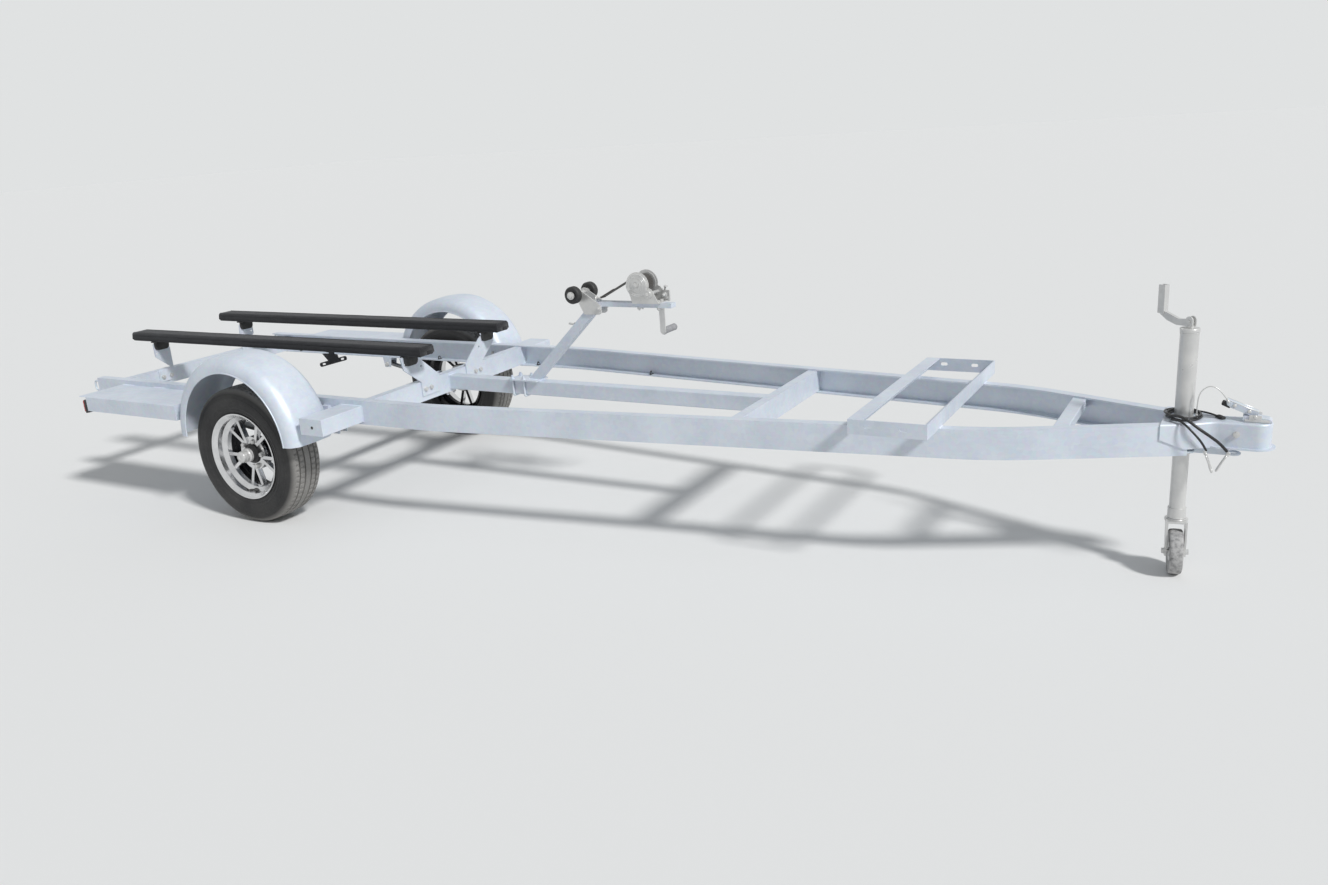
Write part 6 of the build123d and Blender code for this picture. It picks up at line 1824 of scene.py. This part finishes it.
@dataclass
class JackTrim:
    """The jack's cap screw and rings, and the caster's wheel, nuts and grease cap."""

    station: float = at(3.578)
    bands: tuple[tuple[float, float], ...] = ((0.4165, 0.0030), (0.8100, 0.0022))
    band_section: Profile = ((0.0284, -1.0), (0.0292, -0.7), (0.0296, 0.0), (0.0292, 0.7), (0.0284, 1.0))
    deck: float = 0.5358
    deck_ring: Profile = ((0.0286, -0.0004), (0.0312, 0.0002), (0.0302, 0.0022), (0.0286, 0.0036))
    screw: Profile = ((0.0036, -0.0010), (0.0036, 0.0006), (0.0026, 0.0014), (0.0010, 0.0014))
    screw_height: float = 0.8205
    screw_reach: float = 0.0293
    screw_headings: tuple[float, float] = (50.0, 230.0)
    wheel_middle: Point = (at(3.58238), -0.02766, 0.076)
    wheel_axis: Point = (0.9877, 0.1564, 0.0)
    wheel_section: Profile = (
        (0.0300, 0.0176), (0.0330, 0.0192), (0.0400, 0.0178), (0.0520, 0.0172), (0.0600, 0.0190),
        (0.0660, 0.0206), (0.0700, 0.0209), (0.0728, 0.0196), (0.0746, 0.0170), (0.0752, 0.0120),
        (0.0758, 0.0050),
    )
    hub_section: Profile = (
        (0.0068, 0.0204), (0.0120, 0.0204), (0.0132, 0.0190), (0.0140, 0.0160), (0.0230, 0.0150),
        (0.0262, 0.0170), (0.0310, 0.0186), (0.0318, 0.0176),
    )
    nut_reach: float = 0.0322
    collar_height: float = 0.1842
    collar_section: Profile = (
        (0.0236, -0.0004), (0.0300, 0.0), (0.0306, 0.0018), (0.0290, 0.0034), (0.0236, 0.0040),
    )

    def build(self, made: Materials) -> None:
        """Build the jack's pieces.

        Args:
            made: The finishes by slot.
        """
        zinc = made["zinc_steel"]
        self.rings(zinc)
        axis, middle = Vector(self.wheel_axis), Vector(self.wheel_middle)
        wheel = Workpiece("jack_wheel_rubber")
        wheel.turned([*self.wheel_section, *mirrored(self.wheel_section)], middle, axis, 56, closed=True)
        wheel.hand_over("jack_wheel", made["caster_rubber"], ["jack_wheel"], 40.0)
        hub = Workpiece("jack_wheel_hub")
        hub.turned([*self.hub_section, *mirrored(self.hub_section)], middle, axis, 40, closed=True)
        hub.hand_over("jack_wheel", zinc)
        seats = [(Fixing.M10, middle + axis * sign * self.nut_reach, axis * sign, 0.0) for sign in (-1, 1)]
        BoltRow("caster_nuts", "caster").build(zinc, seats)
        collar = Workpiece("caster_collar")
        collar.turned(self.collar_section, (self.station, 0, self.collar_height), UP, 44, closed=True)
        collar.hand_over("caster", zinc)

    def rings(self, zinc: Material) -> None:
        """Build the rolled bands and the deck's ring round the tube, and the cap's screws."""
        piece = Workpiece("jack_tube_rings")
        for height, wide in self.bands:
            section = [(radius, wide * share) for radius, share in self.band_section]
            piece.turned(section, (self.station, 0, height), UP, 48, closed=True)
        piece.turned(self.deck_ring, (self.station, 0, self.deck), UP, 48, closed=True)
        for heading in self.screw_headings:
            across = Vector((math.cos(math.radians(heading)), math.sin(math.radians(heading)), 0.0))
            foot = Vector((self.station, 0, self.screw_height)) + across * self.screw_reach
            piece.turned(self.screw, foot, across, 16)
        piece.hand_over("chassis", zinc)


@dataclass
class FrameFittings:
    """Bolts of the brackets, springs and fenders, and the frame's clips, pin and wire holder."""

    brackets: tuple[tuple[float, float, float, float, float], ...] = (
        (0.5463, 0.5350, 0.490, 0.158, 0.194), (-1.1137, -1.1250, 0.4747, 0.243, 0.290),
    )
    eye_stations: tuple[float, float] = (-0.362, 0.362)
    eye_height: float = 0.394
    eye_outer: float = 0.5756
    eye_inner: float = 0.5274
    clamp_stations: tuple[float, float] = (-0.036, 0.036)
    clamp_ys: tuple[float, float] = (0.5265, 0.5765)
    clamp_height: float = 0.2666
    fender_stations: tuple[float, float] = (-0.303, 0.333)
    fender_nut: tuple[float, float] = (0.5664, 0.478)
    clip_stations: tuple[float, ...] = (-1.020, -0.004, 0.631, 1.306)
    clip_inset: float = 0.0380
    clip_wire: tuple[Point, ...] = (
        (0.0, 0.0, 0.4355), (0.0, 0.0, 0.4480), (0.0, 0.012, 0.4520), (0.0, 0.016, 0.4420),
    )
    post_collar: Profile = ((0.0042, 0.0), (0.0078, 0.0), (0.0078, 0.0020), (0.0042, 0.0030))
    holder: Point = (at(2.372), -0.3800, 0.5236)
    holder_bend: tuple[Point, ...] = (
        (0.0, 0.0, 0.0), (0.0, 0.014, -0.004), (0.004, 0.040, -0.006), (0.024, 0.052, -0.008),
        (0.044, 0.040, -0.006), (0.048, 0.012, -0.004), (0.048, 0.0, 0.0),
    )
    # Painted shade: a black disc on each stub's face stands for the dark inside of its hole.
    hole_disc_section: Profile = ((0.0062, -0.0010), (0.0062, 0.0009), (0.0050, 0.0017), (0.0020, 0.0019))
    hole_disc_place: Point = (at(0.473), 0.8000, 0.473)

    def build(self, made: Materials) -> None:
        """Build the fittings."""
        zinc = made["zinc_steel"]
        BoltRow("bunk_bracket_bolts").build(zinc, self.bracket_seats())
        BoltRow("spring_fasteners").build(zinc, self.spring_seats())
        y, z = self.fender_nut
        BoltRow("fender_nuts").build(zinc, [
            (Fixing.M8, (at(station), side.value * y, z), side.inward, 0.006)
            for station in self.fender_stations for side in Side])
        self.small_parts(made)

    def bracket_seats(self) -> list[Seat]:
        """Seats of the bunk brackets' bolts and nuts."""
        seats = []
        for front, back, z, *ys in self.brackets:
            for y in ys:
                for side in Side:
                    seats.append((Fixing.M10, (at(front), side.value * y, z), FORWARD, 0.0))
                    seats.append((Fixing.M10, (at(back), side.value * y, z), REARWARD, 0.006))
        return seats

    def spring_seats(self) -> list[Seat]:
        """Seats of the spring eyes' bolts and of the axle clamps' nuts."""
        seats = []
        for station in self.eye_stations:
            for side in Side:
                x, sign, z = at(station), side.value, self.eye_height
                seats.append((Fixing.M12, (x, sign * self.eye_outer, z), side.outward, 0.0))
                seats.append((Fixing.M12, (x, sign * self.eye_inner, z), side.inward, 0.008))
        seats += [(Fixing.M12, (at(station), side.value * y, self.clamp_height), DOWN, 0.004)
                  for station in self.clamp_stations for y in self.clamp_ys for side in Side]
        return seats

    def small_parts(self, made: Materials) -> None:
        """Build the wiring clips, the post's pin, the wire holder, and black discs that paint the shade
        inside the holes in the stubs' faces.
        """
        clips = Workpiece("wiring_clips")
        for station in self.clip_stations:
            x, y = at(station), rail_half(station) - self.clip_inset
            clips.block((x - 0.005, y, 0.4340), (x + 0.005, y + 0.026, 0.4376), 0.0012, 1)
            clips.rod(shifted(self.clip_wire, x, y, 0.0), 0.0026)
        clips.hand_over("chassis", made["black_paint"])
        pin = Workpiece("post_pin")
        pin.bar((at(1.212), 0.0, 0.7665), (at(1.250), 0.0, 0.7625), 0.0042, 20, 0.0010)
        pin.turned(self.post_collar, (at(1.2405), 0.0, 0.7636), (-1.0, 0.0, 0.1), 20, closed=True)
        pin.hand_over("chassis", made["zinc_steel"])
        holder = Workpiece("wire_holder")
        holder.rod(shifted(self.holder_bend, *self.holder), 0.0032)
        holder.hand_over("chassis", made["galvanised_steel"])
        # Painted shade: black discs for the dark inside of the holes in the stubs' faces.
        hole_discs = Workpiece("stub_hole_discs")
        x, y, z = self.hole_disc_place
        for side in Side:
            hole_discs.turned(self.hole_disc_section, (x, side.value * y, z), side.outward, 24)
        hole_discs.hand_over("chassis", made["black_rubber"])


@dataclass
class FrameWelds:
    """Weld beads where the frame's members meet."""

    low: float = 0.4365
    fine: float = 0.0030
    crossmember_ends: tuple[Point, ...] = (
        (-1.1200, 0.5652, 0.5090), (-1.1250, 0.5652, 0.5040), (0.5400, 0.5652, 0.5225),
        (0.5350, 0.5652, 0.5170), (2.1700, 0.4112, 0.5225), (2.1650, 0.4118, 0.5170),
    )
    front_ends: tuple[tuple[float, float], ...] = ((3.2050, 0.2376), (3.2530, 0.2180))
    spine_ends: tuple[float, float] = (0.5405, 2.1647)
    post_ends: tuple[float, float] = (0.9850, 1.0400)
    post_foot: float = 0.5170
    tray_feet: tuple[Point, ...] = ((2.6058, 0.3270, 0.3610), (2.8732, 0.2950, 0.3300))
    step_y: float = 0.5718
    step_runs_along: tuple[tuple[float, float], ...] = (
        (-1.030, -0.950), (-0.800, -0.720), (-0.570, -0.490), (-0.430, -0.366), (0.409, 0.524),
    )
    step_ends: tuple[float, ...] = (-0.3618, 0.4048, 0.5282)

    def build(self, made: Materials) -> None:
        """Lay the beads."""
        steel = made["galvanised_steel"]
        WeldBead("crossmember_welds").build(steel, self.crossmember_runs())
        WeldBead("spine_and_tray_welds", self.fine).build(steel, self.spine_runs())
        WeldBead("step_welds", self.fine).build(steel, self.step_runs())

    @staticmethod
    def upright(station: float, y: float, low: float, high: float) -> tuple[Point, Point]:
        """A bead's run straight up from one height to another."""
        return ((at(station), y, low), (at(station), y, high))

    def crossmember_runs(self) -> list[tuple[Point, Point]]:
        """Runs at the crossmembers' ends."""
        runs = [self.upright(station, side.value * y, self.low, top)
                for station, y, top in self.crossmember_ends for side in Side]
        runs += [self.upright(station, side.value * y, 0.4900, 0.5230)
                 for side in Side for station, y in self.front_ends]
        return runs

    def spine_runs(self) -> list[tuple[Point, Point]]:
        """Runs at the spine's ends, the post's foot and the tray's feet."""
        runs = []
        for station in self.spine_ends:
            runs += [self.upright(station, side.value * 0.0256, 0.4480, 0.5100) for side in Side]
            runs.append(((at(station), -0.0240, 0.5107), (at(station), 0.0240, 0.5107)))
        rear, front = (at(station) for station in self.post_ends)
        for y in (-0.0192, 0.0192):
            runs.append(((rear, y, self.post_foot), (front, y, self.post_foot)))
        for x in (rear, front):
            runs.append(((x, -0.0180, self.post_foot), (x, 0.0180, self.post_foot)))
        for station, near, far in self.tray_feet:
            runs += [((at(station), side.value * near, 0.5304), (at(station), side.value * far, 0.5304))
                     for side in Side]
        return runs

    def step_runs(self) -> list[tuple[Point, Point]]:
        """Runs between the rails and the steps and stubs."""
        runs = []
        for side in Side:
            y = side.value * self.step_y
            runs += [((at(start), y, 0.5078), (at(end), y, 0.5078)) for start, end in self.step_runs_along]
            runs += [self.upright(station, y, 0.4400, 0.5065) for station in self.step_ends]
        return runs


FINISHES = {
    "galvanised_steel": Galvanised(),
    "zinc_steel": Clouded(
        "zinc_plate", dark=(0.58, 0.58, 0.575), light=(0.68, 0.675, 0.66), tones=(0.32, 0.66),
        clouds=(14.0, 5.0), roughness=(0.27, 0.39), smears=(24.0, 3.0),
        grain=(120.0, 2.0), grain_strength=0.05, grain_height=0.0002, metallic=0.50),
    "spring_steel": Clouded(
        "spring_steel", dark=(0.16, 0.165, 0.17), light=(0.30, 0.31, 0.32), tones=(0.35, 0.68),
        clouds=(22.0, 6.0), roughness=(0.62, 0.62),
        grain=(240.0, 3.0), grain_strength=0.3, grain_height=0.0005, metallic=0.4),
    "black_rubber": Clouded(
        "black_rubber", dark=(0.018, 0.018, 0.019), light=(0.055, 0.054, 0.052), tones=(0.35, 0.75),
        clouds=(18.0, 6.0), roughness=(0.52, 0.74), smears=(50.0, 3.0),
        grain=(500.0, 3.0), grain_strength=0.25, grain_height=0.0004),
    "tyre_rubber": TyreRubber(),
    "polished_alloy": PolishedAlloy(),
    "carpet": Carpet(),
    "red_lens": RedLens(),
    "black_paint": Clouded(
        "black_paint", dark=(0.016, 0.016, 0.018), light=(0.11, 0.11, 0.115), tones=(0.55, 0.78),
        clouds=(45.0, 6.0, 0.65), roughness=(0.30, 0.50), smears=(70.0, 3.0),
        grain=(300.0, 2.0), grain_strength=0.15, grain_height=0.0003),
    "webbing": Webbing(),
    "cable_sheath": Clouded(
        "cable_sheath", dark=(0.012, 0.012, 0.013), light=(0.055, 0.054, 0.052), tones=(0.50, 0.80),
        clouds=(120.0, 5.0, 0.7), roughness=(0.30, 0.55), smears=(120.0, 5.0, 0.7), smears_end=0.8,
        grain=(260.0, 2.0), grain_strength=0.12, grain_height=0.0003),
    "grey_grip": Clouded(
        "grey_grip", dark=(0.25, 0.25, 0.26), light=(0.36, 0.36, 0.37), tones=(0.35, 0.70),
        clouds=(60.0, 5.0), roughness=(0.42, 0.58), smears=(90.0, 3.0),
        grain=(500.0, 2.0), grain_strength=0.15, grain_height=0.0003),
    "caster_rubber": Clouded(
        "caster_rubber", dark=(0.150, 0.150, 0.152), light=(0.430, 0.425, 0.420), tones=(0.30, 0.56),
        clouds=(70.0, 6.0, 0.65), roughness=(0.55, 0.75), smears=(120.0, 3.0),
        grain=(70.0, 6.0, 0.65), grain_strength=0.3, grain_height=0.0006),
}
GALVANISED_NODES = ("coupler_body", "coupler_latch")


def dress_nodes(made: Materials) -> None:
    """Give every CAD node the material of its slot.

    Args:
        made: The finishes by slot.
    """
    for row in frame["record"]["subparts"]:
        node = frame["nodes"].get(row["node"])
        if node is None:
            continue
        slot = "galvanised_steel" if row["node"] in GALVANISED_NODES else row["material_slot"]
        node.data.materials.clear()
        node.data.materials.append(made[slot])


def main() -> None:
    """Build the scene."""
    logging.basicConfig(level=logging.INFO, format="%(name)s: %(message)s")
    scene = bpy.context.scene
    scene.view_settings.view_transform = "Standard"
    Studio().set_up()
    made = {slot: finish.build() for slot, finish in FINISHES.items()}
    dress_nodes(made)
    TongueCords().build(made)
    for side in Side:
        RoadWheel(side).build(made)
        Bunk(side).build(made)
        TailLight(side).build(made)
    Winch().build(made)
    BowStop().build(made)
    CouplerTrim().build(made)
    JackTrim().build(made)
    FrameFittings().build(made)
    FrameWelds().build(made)


if __name__ == "__main__":
    main()
